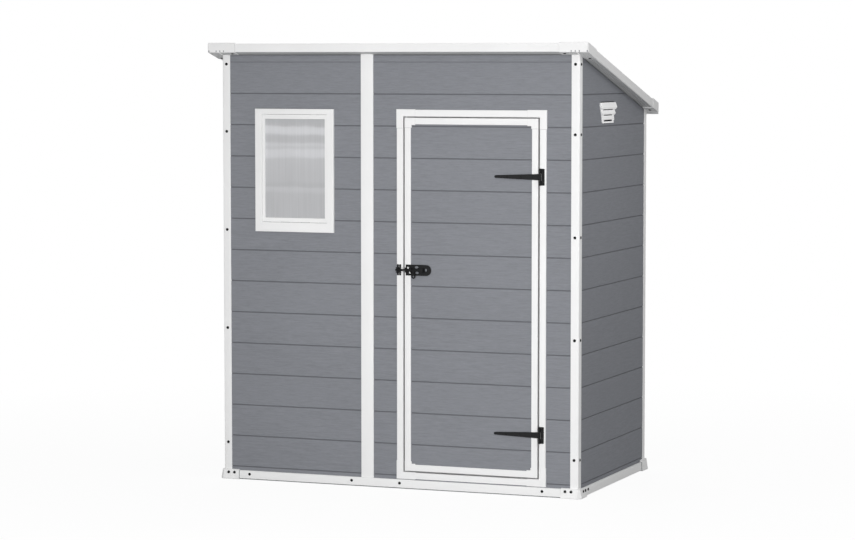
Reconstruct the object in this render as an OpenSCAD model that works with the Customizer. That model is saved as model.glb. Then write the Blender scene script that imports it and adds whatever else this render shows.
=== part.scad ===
// Lean-to garden shed of moulded resin panels: grey weatherboard walls between white corner posts,
// a roof that falls to the back, one outward-opening door with strap hinges and a slide bolt,
// a small front window and a louvred vent in the right-hand wall.
// Millimetres. X runs right along the front, Y to the back, Z up from the ground.

/* [Body] */
// Width over the corner posts
body_w = 1720; // [1640:10:1900]
// Depth over the corner posts
body_d = 992; // [800:2:1300]
// Width of each face of a corner post
post_w = 38; // [34:1:46]
// Radius of a post's outer edge
post_r = 5; // [2:1:8]
// Thickness of a wall panel
wall_t = 18; // [14:1:22]
// How far the boards lie behind the post faces
wall_set = 1; // [0:0.5:3]
// Width of the flat strip that joins two wall panels
mullion_w = 60; // [50:2:70]
// How far that strip stands in front of the post faces
mullion_proud = 2; // [1:0.5:4]

/* [Roof] */
// Height of the roof's front edge
total_h = 2005; // [1960:5:2100]
// Fall of the roof in mm for each mm of depth
roof_fall = 0.264; // [0.2:0.004:0.3]
// Overhang past the posts at each side
over_side = 53; // [40:1:80]
// Overhang past the posts at the front
over_front = 44; // [40:1:70]
// Overhang past the posts at the back
over_back = 16; // [16:1:60]
// Height of the white edge boards
edge_h = 38; // [34:1:44]
// Height of the edge board and corner caps at the back
back_edge_h = 48; // [44:1:56]
// Thickness of the corner caps
cap_t = 3; // [2:0.5:4]
// Length of a corner cap along the front or back
cap_len_x = 134; // [100:2:160]
// Length of a front corner cap along the side
cap_len_y = 112; // [90:2:140]
// Length of a back corner cap along the side
cap_len_back = 85; // [70:1:120]

/* [Base] */
// Thickness of the floor panel
floor_t = 24; // [20:1:30]
// Height of the skirting strip's top edge
skirt_h = 42; // [38:1:48]
// Gap under the skirting strip
skirt_gap = 5; // [3:1:8]
// How far the strip stands out from the posts
skirt_proud = 12; // [8:1:14]
// Length of a corner foot along each wall
foot_len = 78; // [60:2:100]
// How far a foot spreads at the ground
foot_flare = 16; // [14:1:16]
// Height of a foot beside the end walls
foot_h = 52; // [48:1:60]

/* [Window] */
// Distance of the window's centre left of the shed's centre
window_left = 499.5; // [450:0.5:560]
// Height of the window trim's lower edge
window_z = 1147; // [1000:1:1180]
// Width over the window trim
window_w = 389; // [300:1:420]
// Height over the window trim
window_h = 559; // [400:1:600]
// Face width of the trim at each side
window_side = 33; // [26:1:40]
// Face width of the trim at the top
window_top = 25; // [20:1:40]
// Face width of the sill trim
window_sill = 43; // [30:1:60]
// Face width of the sash at each side
sash_side = 13; // [10:1:20]
// Face width of the sash at top and bottom
sash_top = 21; // [14:1:30]

/* [Door] */
// Distance of the door's centre right of the shed's centre
door_right = 354.5; // [340:0.5:380]
// Width over the door frame
frame_w = 707; // [660:1:740]
// Height of the door frame's upper edge
frame_top = 1706; // [1600:1:1720]
// Face width of a door frame member
frame_face = 30; // [26:1:36]
// Gap round the leaf
leaf_gap = 8; // [6:1:10]
// Face width of the leaf's border
border_w = 29; // [24:1:36]
// Thickness of the leaf
leaf_t = 28; // [24:1:32]
// Height of the upper hinge
hinge_high = 1414; // [1300:1:1500]
// Height of the lower hinge
hinge_low = 274; // [200:1:400]
// Height of the bolt
bolt_z = 989; // [850:1:1100]

/* [Hidden] */
$fn = 48;

// Corners: name, side of X, side of Y
CORNERS = [["front_left", -1, -1], ["front_right", 1, -1], ["back_left", -1, 1], ["back_right", 1, 1]];

// Colours
WHITE = "#ECEEF0";
GREY = "#7F8489";
ROOF_GREY = "#6E7377";
PANE = [0.78, 0.79, 0.81, 0.6];
BLACK = "#222427";

// Main planes: half widths, and the front and back faces of the posts
half_w = body_w / 2;
roof_x = half_w + over_side;
roof_d = over_front + body_d + over_back;
eave_y = -roof_d / 2;
front_y = eave_y + over_front;
back_y = front_y + body_d;
back_eave_y = roof_d / 2;
wall_x = half_w - wall_set;
wall_y0 = front_y + wall_set;
wall_y1 = back_y - wall_set;
inner_x = wall_x - wall_t;
post_in_x = half_w - post_w;

// Roof build-up: the edge boards' flange and web thickness, the flange's width,
// and the hairline between the roof panel and what it lies between
flange_t = 4;
web_t = 6;
flange_w = 40;
panel_ease = 0.05;

// Heights of the roof's layers above any Y
function cap_top(y) = total_h - roof_fall * (y - eave_y);
function edge_top(y) = cap_top(y) - cap_t;
function soffit(y) = edge_top(y) - edge_h;
back_edge_z = edge_top(back_eave_y - cap_t) - back_edge_h;

// Feet: how far they spread at their top, and the step over the skirting beside them
foot_grip = 7;
foot_step = 3;

// Mullions: the front one's centre, and how far its strip reaches behind the post faces
mullion_x = -144;
mullion_back = wall_set + wall_t;

// Window opening between the trims: its centre, size and lower edge, how far the trim stands out,
// the sleeve through the wall, and the planes of the sash and the pane
window_x = -window_left;
pane_open_w = window_w - 2 * window_side;
pane_open_h = window_h - window_sill - window_top;
window_low = window_z + window_sill;
window_proud = 9;
sleeve_t = 6;
sash_y0 = front_y - 3;
sash_y1 = front_y + 15;
pane_y0 = front_y + 4;
pane_t = 6;

// Door frame and leaf: the members' faces, and the lip that the leaf shuts against
frame_x0 = door_right - frame_w / 2;
frame_x1 = door_right + frame_w / 2;
jamb_x0 = frame_x0 + frame_face;
jamb_x1 = frame_x1 - frame_face;
frame_y0 = front_y - 4;
stop_clear = 6;
stop_t = 6;
stop_y0 = frame_y0 + leaf_t + stop_clear;
frame_y1 = stop_y0 + stop_t;
stop_lap = 12;
stop_in = leaf_gap + stop_lap;
leaf_x0 = jamb_x0 + leaf_gap;
leaf_x1 = jamb_x1 - leaf_gap;
sill_z = skirt_h + 33;
head_z = frame_top - frame_face;
leaf_z0 = sill_z + leaf_gap;
leaf_z1 = head_z - stop_clear;
panel_set = 3;

// Hinges: knuckle radius, pin radius and its running clearance, plates and straps, how far
// the pins stand over the jamb's edge, and the knuckles' clearance from the jamb's face
knuckle_r = 5;
pin_r = 2.5;
pin_clear = 0.1;
plate_t = 3;
plate_w = 25;
plate_h = 74;
strap_len = 214;
strap_tip_r = 6;
strap_half = 14;
knuckle_gap = 1.5;
hinge_set = 2.5;
hinge_lift = 0.5;
hinge_x = leaf_x1 + leaf_gap + hinge_set;
hinge_y = frame_y0 - knuckle_r - hinge_lift;

// Bolt: rod, back plate, guides, keeper and the hanging ring
rod_r = 4.5;
rod_y = frame_y0 - 10.5;
rod_clear = 0.1;
bolt_plate_t = 2.5;
bolt_plate_h = 49;
bolt_plate_x0 = leaf_x0 + 5.5;
bolt_plate_len = 122;
guide_w = 10;
guide_h = 22;
guide_y0 = rod_y - rod_r - 2;
guide_x = [bolt_plate_x0 + 1.5, bolt_plate_x0 + 77.5];
keeper_x0 = frame_x0 + 1;
keeper_w = 20;
keeper_h = 50;
lug_gap = 2.5;
lug_h = 5;
rod_x0 = keeper_x0 - 4;
rod_x1 = guide_x[1] + guide_w + 2;
ring_x = bolt_plate_x0 + 37.5;
ring_drop = 28;
ring_r = 7.5;
ring_wire = 2.5;

// Vent in the right-hand wall: trapezium with level louvre slots, each wider than the one below
vent_y = front_y + 395;
vent_low = 1645;
vent_h = 92;
vent_top_w = 228;
vent_low_w = 168;
vent_proud = 12;
louvre_slots = 3;
louvre_pitch = vent_h / (louvre_slots + 1);
slot_h = 7;
slot_low_w = 112;
slot_widen = 12;
slot_low_z = vent_low + 0.75 * louvre_pitch;
vent_hole = [130, 66];

// Box between two corners
module span(low, high) {
    translate(low)
        cube(high - low);
}

// Outline in Y and Z carried along X
module along_x(x0, x1, points) {
    translate([x0, 0, 0])
        rotate([90, 0, 90])
            linear_extrude(x1 - x0)
                polygon(points);
}

// Outline in X and Z carried along Y
module along_y(y0, y1, points) {
    translate([0, y1, 0])
        rotate([90, 0, 0])
            linear_extrude(y1 - y0)
                polygon(points);
}

// Slab from a level foot up to the underside of the roof
module up_to_roof(x0, x1, y0, y1, z0) {
    along_x(x0, x1, [[y0, z0], [y1, z0], [y1, soffit(y1)], [y0, soffit(y0)]]);
}

// Layer of the roof, from one height below the caps' top to another
module roof_layer(x0, x1, y0, y1, down_low, down_high) {
    along_x(x0, x1, [
        [y0, cap_top(y0) - down_low], [y1, cap_top(y1) - down_low],
        [y1, cap_top(y1) - down_high], [y0, cap_top(y0) - down_high]
    ]);
}

module floor_panel() {
    color(GREY)
        span([-half_w, front_y, 0], [half_w, back_y, floor_t]);
}

// Skirting strips between the feet
module skirt_front() {
    color(WHITE)
        span([-half_w + foot_len, front_y - skirt_proud, skirt_gap], [half_w - foot_len, front_y, skirt_h]);
}

module skirt_back() {
    color(WHITE)
        span([-half_w + foot_len, back_y, skirt_gap], [half_w - foot_len, back_y + skirt_proud, skirt_h]);
}

module skirt_side(side) {
    color(WHITE)
        mirror([side < 0 ? 1 : 0, 0, 0])
            span([half_w, front_y + foot_len, skirt_gap], [half_w + skirt_proud, back_y - foot_len, skirt_h]);
}

module skirt_left() {
    skirt_side(-1);
}

module skirt_right() {
    skirt_side(1);
}

// Foot round one corner of the floor: an L in plan that spreads towards the ground
module foot(side, end) {
    far = foot_flare + 1;
    d = body_d / 2;
    color(WHITE)
        translate([0, (front_y + back_y) / 2, 0])
            mirror([side < 0 ? 1 : 0, 0, 0])
                mirror([0, end > 0 ? 1 : 0, 0])
                    difference() {
                        intersection() {
                            linear_extrude(foot_h)
                                polygon([
                                    [half_w - foot_len, -d - far], [half_w, -d - far], [half_w + far, -d],
                                    [half_w + far, -d + foot_len], [half_w - foot_len, -d + foot_len]
                                ]);
                            along_y(-d - far, d, [
                                [0, 0], [half_w + foot_flare, 0], [half_w + foot_grip, foot_h], [0, foot_h]
                            ]);
                            along_x(0, half_w + far, [
                                [-d - foot_flare, 0], [d, 0], [d, foot_h], [-d - foot_grip, foot_h]
                            ]);
                        }
                        span([0, -d, -1], [half_w, d, foot_h + 1]);
                        span([0, -d - far, skirt_h + foot_step], [half_w, d, foot_h + 1]);
                    }
}

// Corner post, square with its outer edge rounded, cut to the roof's slope
module post(side, end) {
    far_y = end < 0 ? front_y : back_y;
    color(WHITE)
        intersection() {
            translate([side * half_w, far_y, floor_t])
                mirror([side > 0 ? 1 : 0, 0, 0])
                    mirror([0, end > 0 ? 1 : 0, 0])
                        linear_extrude(total_h)
                            difference() {
                                square(post_w);
                                difference() {
                                    square(post_r);
                                    translate([post_r, post_r])
                                        circle(post_r);
                                }
                            }
            up_to_roof(-half_w, half_w, front_y, back_y, floor_t);
        }
}

// Left part of the front, with the hole for the window
module front_wall_window() {
    hole_w = pane_open_w / 2 + sleeve_t;
    color(GREY)
        difference() {
            up_to_roof(-post_in_x, mullion_x - mullion_w / 2, wall_y0, wall_y0 + wall_t, floor_t);
            span(
                [window_x - hole_w, wall_y0 - 1, window_low - sleeve_t],
                [window_x + hole_w, wall_y0 + wall_t + 1, window_low + pane_open_h + sleeve_t]
            );
        }
}

// Strip over the joint of two wall panels: it stands on the floor behind the skirting,
// and its proud face starts above the skirting
module front_mullion() {
    x0 = mullion_x - mullion_w / 2;
    x1 = mullion_x + mullion_w / 2;
    y1 = front_y + mullion_back;
    color(WHITE) {
        up_to_roof(x0, x1, front_y - mullion_proud, y1, skirt_h);
        span([x0, front_y, floor_t], [x1, y1, skirt_h]);
    }
}

// Narrow panels at the latch side and the hinge side of the door frame
module front_wall_beside_door() {
    color(GREY) {
        up_to_roof(mullion_x + mullion_w / 2, frame_x0, wall_y0, wall_y0 + wall_t, floor_t);
        up_to_roof(frame_x1, post_in_x, wall_y0, wall_y0 + wall_t, floor_t);
    }
}

module front_wall_over_door() {
    color(GREY)
        up_to_roof(frame_x0, frame_x1, wall_y0, wall_y0 + wall_t, frame_top);
}

module end_wall(x0, x1) {
    up_to_roof(x0, x1, front_y + post_w, back_y - post_w, floor_t);
}

module left_wall() {
    color(GREY)
        end_wall(-wall_x, -inner_x);
}

module right_wall() {
    color(GREY)
        difference() {
            end_wall(inner_x, wall_x);
            translate([0, vent_y - vent_hole[0] / 2, vent_low + (vent_h - vent_hole[1]) / 2])
                cube([wall_x + 1, vent_hole[0], vent_hole[1]]);
        }
}

// Back: two panels with a strip between them
module back_wall() {
    color(GREY)
        for (side = [-1, 1])
            mirror([side < 0 ? 1 : 0, 0, 0])
                up_to_roof(mullion_w / 2, post_in_x, wall_y1 - wall_t, wall_y1, floor_t);
}

module back_mullion() {
    color(WHITE) {
        up_to_roof(-mullion_w / 2, mullion_w / 2, back_y - mullion_back, back_y + mullion_proud, skirt_h);
        span([-mullion_w / 2, back_y - mullion_back, floor_t], [mullion_w / 2, back_y, skirt_h]);
    }
}

// Box centred on the window, given its half width and the heights of its ends
module window_block(half, y0, y1, z0, z1) {
    span([window_x - half, y0, z0], [window_x + half, y1, z1]);
}

// Trim on the outside with a sleeve through the wall
module window_frame() {
    half = pane_open_w / 2;
    high = window_low + pane_open_h;
    color(WHITE)
        difference() {
            union() {
                window_block(window_w / 2, front_y - window_proud, wall_y0, window_z, window_z + window_h);
                window_block(half + sleeve_t, wall_y0, wall_y0 + wall_t, window_low - sleeve_t, high + sleeve_t);
            }
            window_block(half, front_y - window_proud - 1, wall_y0 + wall_t + 1, window_low, high);
        }
}

module window_sash() {
    half = pane_open_w / 2;
    high = window_low + pane_open_h;
    color(WHITE)
        difference() {
            window_block(half, sash_y0, sash_y1, window_low, high);
            window_block(half - sash_side, sash_y0 - 1, sash_y1 + 1, window_low + sash_top, high - sash_top);
        }
}

module window_pane() {
    color(PANE)
        window_block(
            pane_open_w / 2 - sash_side, pane_y0, pane_y0 + pane_t,
            window_low + sash_top, window_low + pane_open_h - sash_top
        );
}

// Jamb in plan: the frame member with a lip behind the leaf. side is 1 where the lip points right.
module jamb(x_out, side) {
    color(WHITE)
        translate([x_out, 0, skirt_h])
            mirror([side < 0 ? 1 : 0, 0, 0])
                linear_extrude(frame_top - skirt_h)
                    polygon([
                        [0, frame_y0], [frame_face, frame_y0], [frame_face, stop_y0],
                        [frame_face + stop_in, stop_y0], [frame_face + stop_in, frame_y1], [0, frame_y1]
                    ]);
}

module door_jamb_latch() {
    jamb(frame_x0, 1);
}

module door_jamb_hinge() {
    jamb(frame_x1, -1);
}

// Head and sill between the jambs, each with a lip behind the leaf. The sill's base runs on under the jambs.
module door_head() {
    color(WHITE) {
        span([jamb_x0, frame_y0, head_z], [jamb_x1, stop_y0, frame_top]);
        span([jamb_x0 + stop_in, stop_y0, leaf_z1 - stop_lap], [jamb_x1 - stop_in, frame_y1, frame_top]);
    }
}

module door_sill() {
    color(WHITE) {
        span([frame_x0, front_y, floor_t], [frame_x1, frame_y1, skirt_h]);
        span([jamb_x0, frame_y0, skirt_h], [jamb_x1, stop_y0, sill_z]);
        span([jamb_x0 + stop_in, stop_y0, skirt_h], [jamb_x1 - stop_in, frame_y1, leaf_z0 + stop_lap]);
    }
}

module side_vent() {
    color(WHITE)
        difference() {
            along_x(wall_x, wall_x + vent_proud, [
                [vent_y - vent_low_w / 2, vent_low], [vent_y + vent_low_w / 2, vent_low],
                [vent_y + vent_top_w / 2, vent_low + vent_h], [vent_y - vent_top_w / 2, vent_low + vent_h]
            ]);
            for (i = [0 : louvre_slots - 1]) {
                slot_w = slot_low_w + slot_widen * i;
                translate([wall_x - 1, vent_y - slot_w / 2, slot_low_z + louvre_pitch * i - slot_h / 2])
                    cube([vent_proud + 2, slot_w, slot_h]);
            }
        }
}

module roof_panel() {
    color(ROOF_GREY)
        roof_layer(
            -roof_x + cap_t + web_t, roof_x - cap_t - web_t,
            eave_y + cap_t + web_t, back_eave_y - cap_t - web_t,
            cap_t + edge_h - panel_ease, cap_t + flange_t + panel_ease
        );
}

// Edge boards: an upright web with a flange over the panel
module fascia_front() {
    y0 = eave_y + cap_t;
    x = roof_x - cap_t - web_t;
    color(WHITE) {
        roof_layer(-x, x, y0, y0 + web_t, cap_t + edge_h, cap_t);
        roof_layer(-x, x, y0 + web_t, y0 + flange_w, cap_t + flange_t, cap_t);
    }
}

module fascia_back() {
    y1 = back_eave_y - cap_t;
    x = roof_x - cap_t - web_t;
    color(WHITE) {
        along_x(-x, x, [
            [y1 - web_t, back_edge_z], [y1, back_edge_z], [y1, edge_top(y1)], [y1 - web_t, edge_top(y1 - web_t)]
        ]);
        roof_layer(-x, x, y1 - flange_w, y1 - web_t, cap_t + flange_t, cap_t);
    }
}

module verge(side) {
    x1 = roof_x - cap_t;
    y0 = eave_y + cap_t;
    y1 = back_eave_y - cap_t;
    color(WHITE)
        mirror([side < 0 ? 1 : 0, 0, 0]) {
            roof_layer(x1 - web_t, x1, y0, y1, cap_t + edge_h, cap_t);
            roof_layer(x1 - flange_w, x1 - web_t, y0 + flange_w, y1 - flange_w, cap_t + flange_t, cap_t);
        }
}

module verge_left() {
    verge(-1);
}

module verge_right() {
    verge(1);
}

// Plan of a corner cap, an L of two strips with its corner at the roof's corner
module cap_plan(z, h) {
    translate([0, 0, z])
        linear_extrude(h)
            polygon([
                [roof_x, 0], [roof_x, cap_len_y], [roof_x - over_side, cap_len_y],
                [roof_x - over_side, over_front], [roof_x - cap_len_x, over_front], [roof_x - cap_len_x, 0]
            ]);
}

// Front cap: a skin over the ends of the edge boards, under them and round the corner
module roof_cap_front(side) {
    far = eave_y + cap_len_y;
    color(WHITE)
        mirror([side < 0 ? 1 : 0, 0, 0])
            difference() {
                intersection() {
                    translate([0, eave_y, 0])
                        cap_plan(total_h / 2, total_h);
                    roof_layer(0, roof_x, eave_y, far, edge_h + 2 * cap_t, 0);
                }
                roof_layer(0, roof_x - cap_t, eave_y + cap_t, far + 1, cap_t + edge_h, cap_t);
            }
}

// Outline in Y and Z of a back cap that starts at y0: its lower skin follows the slope
// up to the back edge board, then goes down round that board's level lower edge
function back_cap_outline(y0, skin) =
    let (
        lip_y = back_eave_y - cap_t - web_t - skin,
        far_y = back_eave_y - cap_t + skin,
        top = cap_t - skin,
        low = back_edge_z - skin
    )
    [
        [y0, soffit(y0) - skin], [lip_y, soffit(lip_y) - skin], [lip_y, low],
        [far_y, low], [far_y, cap_top(far_y) - top], [y0, cap_top(y0) - top]
    ];

// Back cap: the same skin, an L that is long along the back edge too
module roof_cap_back(side) {
    near = back_eave_y - cap_len_back;
    color(WHITE)
        mirror([side < 0 ? 1 : 0, 0, 0])
            difference() {
                union() {
                    along_x(half_w, roof_x, back_cap_outline(near, cap_t));
                    along_x(roof_x - cap_len_x, half_w, back_cap_outline(back_y, cap_t));
                }
                along_x(0, roof_x - cap_t, back_cap_outline(near - 1, 0));
            }
}

// T plates on the hinge jamb, each with two outer knuckles on a fixed pin
module hinge_plates() {
    color(BLACK)
        for (z = [hinge_low, hinge_high])
            translate([hinge_x, hinge_y, z]) {
                cylinder(h = plate_h, r = pin_r, center = true);
                span(
                    [knuckle_r + 1, knuckle_r - plate_t, -plate_h / 2],
                    [plate_w - knuckle_r, knuckle_r + hinge_lift, plate_h / 2]
                );
                for (side = [-1, 1])
                    mirror([0, 0, side < 0 ? 1 : 0]) {
                        translate([0, 0, strap_half + knuckle_gap])
                            cylinder(h = plate_h / 2 - strap_half - knuckle_gap, r = knuckle_r);
                        span(
                            [0, knuckle_r - plate_t, strap_half + knuckle_gap],
                            [knuckle_r + 1, knuckle_r + hinge_lift, plate_h / 2]
                        );
                    }
            }
}

// Straps on the leaf, tapering to a round tip, each with the middle knuckle bored for the pin.
// They clear the jamb's face.
module hinge_straps() {
    tip = -strap_len + strap_tip_r;
    color(BLACK)
        for (z = [hinge_low, hinge_high])
            translate([hinge_x, hinge_y, z])
                difference() {
                    union() {
                        cylinder(h = 2 * strap_half, r = knuckle_r, center = true);
                        translate([0, knuckle_r + hinge_lift, 0])
                            rotate([90, 0, 0])
                                linear_extrude(plate_t + hinge_lift) {
                                    polygon([
                                        [0, -strap_half], [0, strap_half],
                                        [tip, strap_tip_r], [tip, -strap_tip_r]
                                    ]);
                                    translate([tip, 0])
                                        circle(strap_tip_r);
                                }
                    }
                    cylinder(h = 3 * strap_half, r = pin_r + pin_clear, center = true);
                    span(
                        [-leaf_gap - hinge_set, knuckle_r, -2 * strap_half],
                        [2 * knuckle_r, 2 * knuckle_r, 2 * strap_half]
                    );
                }
}

module door_panel() {
    color(GREY)
        span(
            [leaf_x0 + border_w, frame_y0 + panel_set, leaf_z0 + border_w],
            [leaf_x1 - border_w, frame_y0 + leaf_t - panel_set, leaf_z1 - border_w]
        );
}

module door_border() {
    color(WHITE)
        difference() {
            span([leaf_x0, frame_y0, leaf_z0], [leaf_x1, frame_y0 + leaf_t, leaf_z1]);
            span(
                [leaf_x0 + border_w, frame_y0 - 1, leaf_z0 + border_w],
                [leaf_x1 - border_w, frame_y0 + leaf_t + 1, leaf_z1 - border_w]
            );
        }
}

// Back plate with a round end, and two bored guides for the rod
module bolt_plate() {
    end_r = bolt_plate_h / 2;
    color(BLACK)
        difference() {
            union() {
                translate([bolt_plate_x0, frame_y0, bolt_z])
                    rotate([90, 0, 0])
                        linear_extrude(bolt_plate_t) {
                            translate([0, -end_r])
                                square([bolt_plate_len - end_r, bolt_plate_h]);
                            translate([bolt_plate_len - end_r, 0])
                                circle(end_r);
                        }
                for (x = guide_x)
                    span([x, guide_y0, bolt_z - guide_h / 2], [x + guide_w, frame_y0 - bolt_plate_t, bolt_z + guide_h / 2]);
            }
            translate([bolt_plate_x0, rod_y, bolt_z])
                rotate([0, 90, 0])
                    cylinder(h = bolt_plate_len, r = rod_r + rod_clear);
        }
}

// Rod that slides to the right, with the ring that draws it
module bolt_rod() {
    color(BLACK) {
        translate([rod_x0, rod_y, bolt_z])
            rotate([0, 90, 0])
                cylinder(h = rod_x1 - rod_x0, r = rod_r);
        translate([ring_x, rod_y, bolt_z - ring_drop + ring_r])
            cylinder(h = ring_drop - ring_r, r = ring_wire);
        translate([ring_x, rod_y, bolt_z - ring_drop])
            rotate([90, 0, 0])
                rotate_extrude()
                    translate([ring_r, 0])
                        circle(ring_wire);
    }
}

// Cradle on the latch jamb, open to the front so that the rod swings out with the door
module bolt_keeper() {
    lug = rod_r + lug_gap;
    color(BLACK) {
        span(
            [keeper_x0, frame_y0 - bolt_plate_t, bolt_z - keeper_h / 2],
            [keeper_x0 + keeper_w, frame_y0, bolt_z + keeper_h / 2]
        );
        for (side = [-1, 1])
            translate([0, 0, bolt_z])
                mirror([0, 0, side < 0 ? 1 : 0])
                    span([keeper_x0, guide_y0, lug], [keeper_x0 + keeper_w, frame_y0, lug + lug_h]);
    }
}

floor_panel();
skirt_front();
skirt_back();
skirt_left();
skirt_right();
for (c = CORNERS) {
    foot(c[1], c[2]);
    post(c[1], c[2]);
}
front_wall_window();
front_mullion();
front_wall_beside_door();
front_wall_over_door();
left_wall();
right_wall();
back_wall();
back_mullion();
window_frame();
window_sash();
window_pane();
door_jamb_latch();
door_jamb_hinge();
door_head();
door_sill();
side_vent();
roof_panel();
fascia_front();
fascia_back();
verge_left();
verge_right();
roof_cap_front(-1);  // roof_cap_front_left
roof_cap_front(1);  // roof_cap_front_right
roof_cap_back(-1);  // roof_cap_back_left
roof_cap_back(1);  // roof_cap_back_right
hinge_plates();
bolt_keeper();
door_panel();
door_border();
hinge_straps();
bolt_plate();
bolt_rod();
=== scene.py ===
import math

import bpy
import numpy as np
from bpy.props import FloatProperty, FloatVectorProperty, IntProperty, PointerProperty
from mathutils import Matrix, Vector


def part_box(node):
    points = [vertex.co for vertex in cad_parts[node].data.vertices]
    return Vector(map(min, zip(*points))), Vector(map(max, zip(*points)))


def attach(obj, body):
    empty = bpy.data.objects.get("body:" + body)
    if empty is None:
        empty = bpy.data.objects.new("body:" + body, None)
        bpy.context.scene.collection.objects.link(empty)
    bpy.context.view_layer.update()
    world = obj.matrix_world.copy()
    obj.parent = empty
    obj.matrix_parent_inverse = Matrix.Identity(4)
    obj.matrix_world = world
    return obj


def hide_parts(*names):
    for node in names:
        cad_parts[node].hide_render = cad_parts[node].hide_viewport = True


bl_info = {
    "name": "Garden shed",
    "version": (1, 0, 0),
    "blender": (4, 5, 0),
    "location": "View3D > Sidebar > Shed",
    "description": "Boards, trims, fittings and finishes of a lean-to garden shed",
    "category": "Object",
}

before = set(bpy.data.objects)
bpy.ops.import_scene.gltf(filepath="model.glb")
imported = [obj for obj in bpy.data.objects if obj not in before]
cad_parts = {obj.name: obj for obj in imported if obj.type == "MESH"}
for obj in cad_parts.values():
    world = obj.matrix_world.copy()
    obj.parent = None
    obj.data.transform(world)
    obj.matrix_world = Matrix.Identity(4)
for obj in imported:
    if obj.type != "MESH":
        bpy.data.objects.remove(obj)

# Directions of each side of the shed: to the right along it, up it, and out from the shed's middle
SIDES = {
    "front": [[1, 0, 0], [0, 0, 1], [0, -1, 0]],
    "right": [[0, 1, 0], [0, 0, 1], [1, 0, 0]],
    "back": [[-1, 0, 0], [0, 0, 1], [0, 1, 0]],
    "left": [[0, -1, 0], [0, 0, 1], [-1, 0, 0]],
    "top": [[1, 0, 0], [0, 1, 0], [0, 0, 1]],
    "under": [[1, 0, 0], [0, -1, 0], [0, 0, -1]],
}
HANDS = (("left", -1), ("right", 1))
ENDS = (("front", -1), ("back", 1))


def facing(side, a, b, out):
    """Points from their distances to the right along a side, up it, and out from the shed's middle."""
    return np.stack(np.broadcast_arrays(a, b, out), -1) @ np.array(SIDES[side], float)


def span(node, side="top"):
    """Low and high ends of a CAD node's box along a side's own directions, in metres."""
    corners = np.array([tuple(c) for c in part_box(node)])
    return np.sort(corners @ np.array(SIDES[side], float).T, axis=0)


def face_of(node, side):
    """A node's rectangle a0, a1, b0, b1 on a side, and how far its back and its face stand out."""
    low, high = span(node, side)
    return [low[0], high[0], low[1], high[1]], low[2], high[2]


# Main planes, from the frame
POST_LOW, POST_HIGH = span("post_front_right")
BACK_POST_LOW, BACK_POST_HIGH = span("post_back_right")
CAP_LOW, CAP_HIGH = span("roof_cap_front_right")
BACK_CAP_LOW, BACK_CAP_HIGH = span("roof_cap_back_right")
VERGE_LOW, VERGE_HIGH = span("verge_right")
ROOF_LOW, ROOF_HIGH = span("roof_panel")
HALF_W = POST_HIGH[0]
FRONT = POST_LOW[1]
BACK = BACK_POST_HIGH[1]
ROOF_X = CAP_HIGH[0]
EAVE = CAP_LOW[1]
BACK_EAVE = BACK_CAP_HIGH[1]
FALL = (POST_HIGH[2] - BACK_POST_HIGH[2]) / (BACK_POST_LOW[1] - FRONT)
CAP_T = ROOF_X - VERGE_HIGH[0]
FLANGE = VERGE_HIGH[0] - VERGE_LOW[0]


def soffit(y):
    """Height of the roof's underside: a straight fall from the front posts."""
    return POST_HIGH[2] - FALL * (y - FRONT)


def cap_top(y):
    """Height of the corner caps' top: the same fall, from the front edge."""
    return CAP_HIGH[2] - FALL * (y - EAVE)


def edge_top(y):
    """Height of the edge boards' top, one cap thickness lower."""
    return cap_top(y) - CAP_T


EDGE_H = edge_top(EAVE) - soffit(EAVE)
CAP_DROP = EDGE_H + 2 * CAP_T
# Face of the rear caps' lip, which looks to the front
LIP_Y = BACK_EAVE - 3 * CAP_T - 0.003
# Open joint between the wall panels and the roof's underside
ROOF_JOINT = 0.004
# Radii of an edge that stays crisp and of a plainly softened one
CRISP, SOFTENED = 0.0005, 0.0012
# Thickness of the window trim's sleeve, which fills the wall's opening
SLEEVE = 0.006
# A height above the whole roof
OVERHEAD = 2.1
# Faces that meet at more than this angle keep a sharp edge between them
SHARP = math.radians(32)


# Shapes


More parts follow.
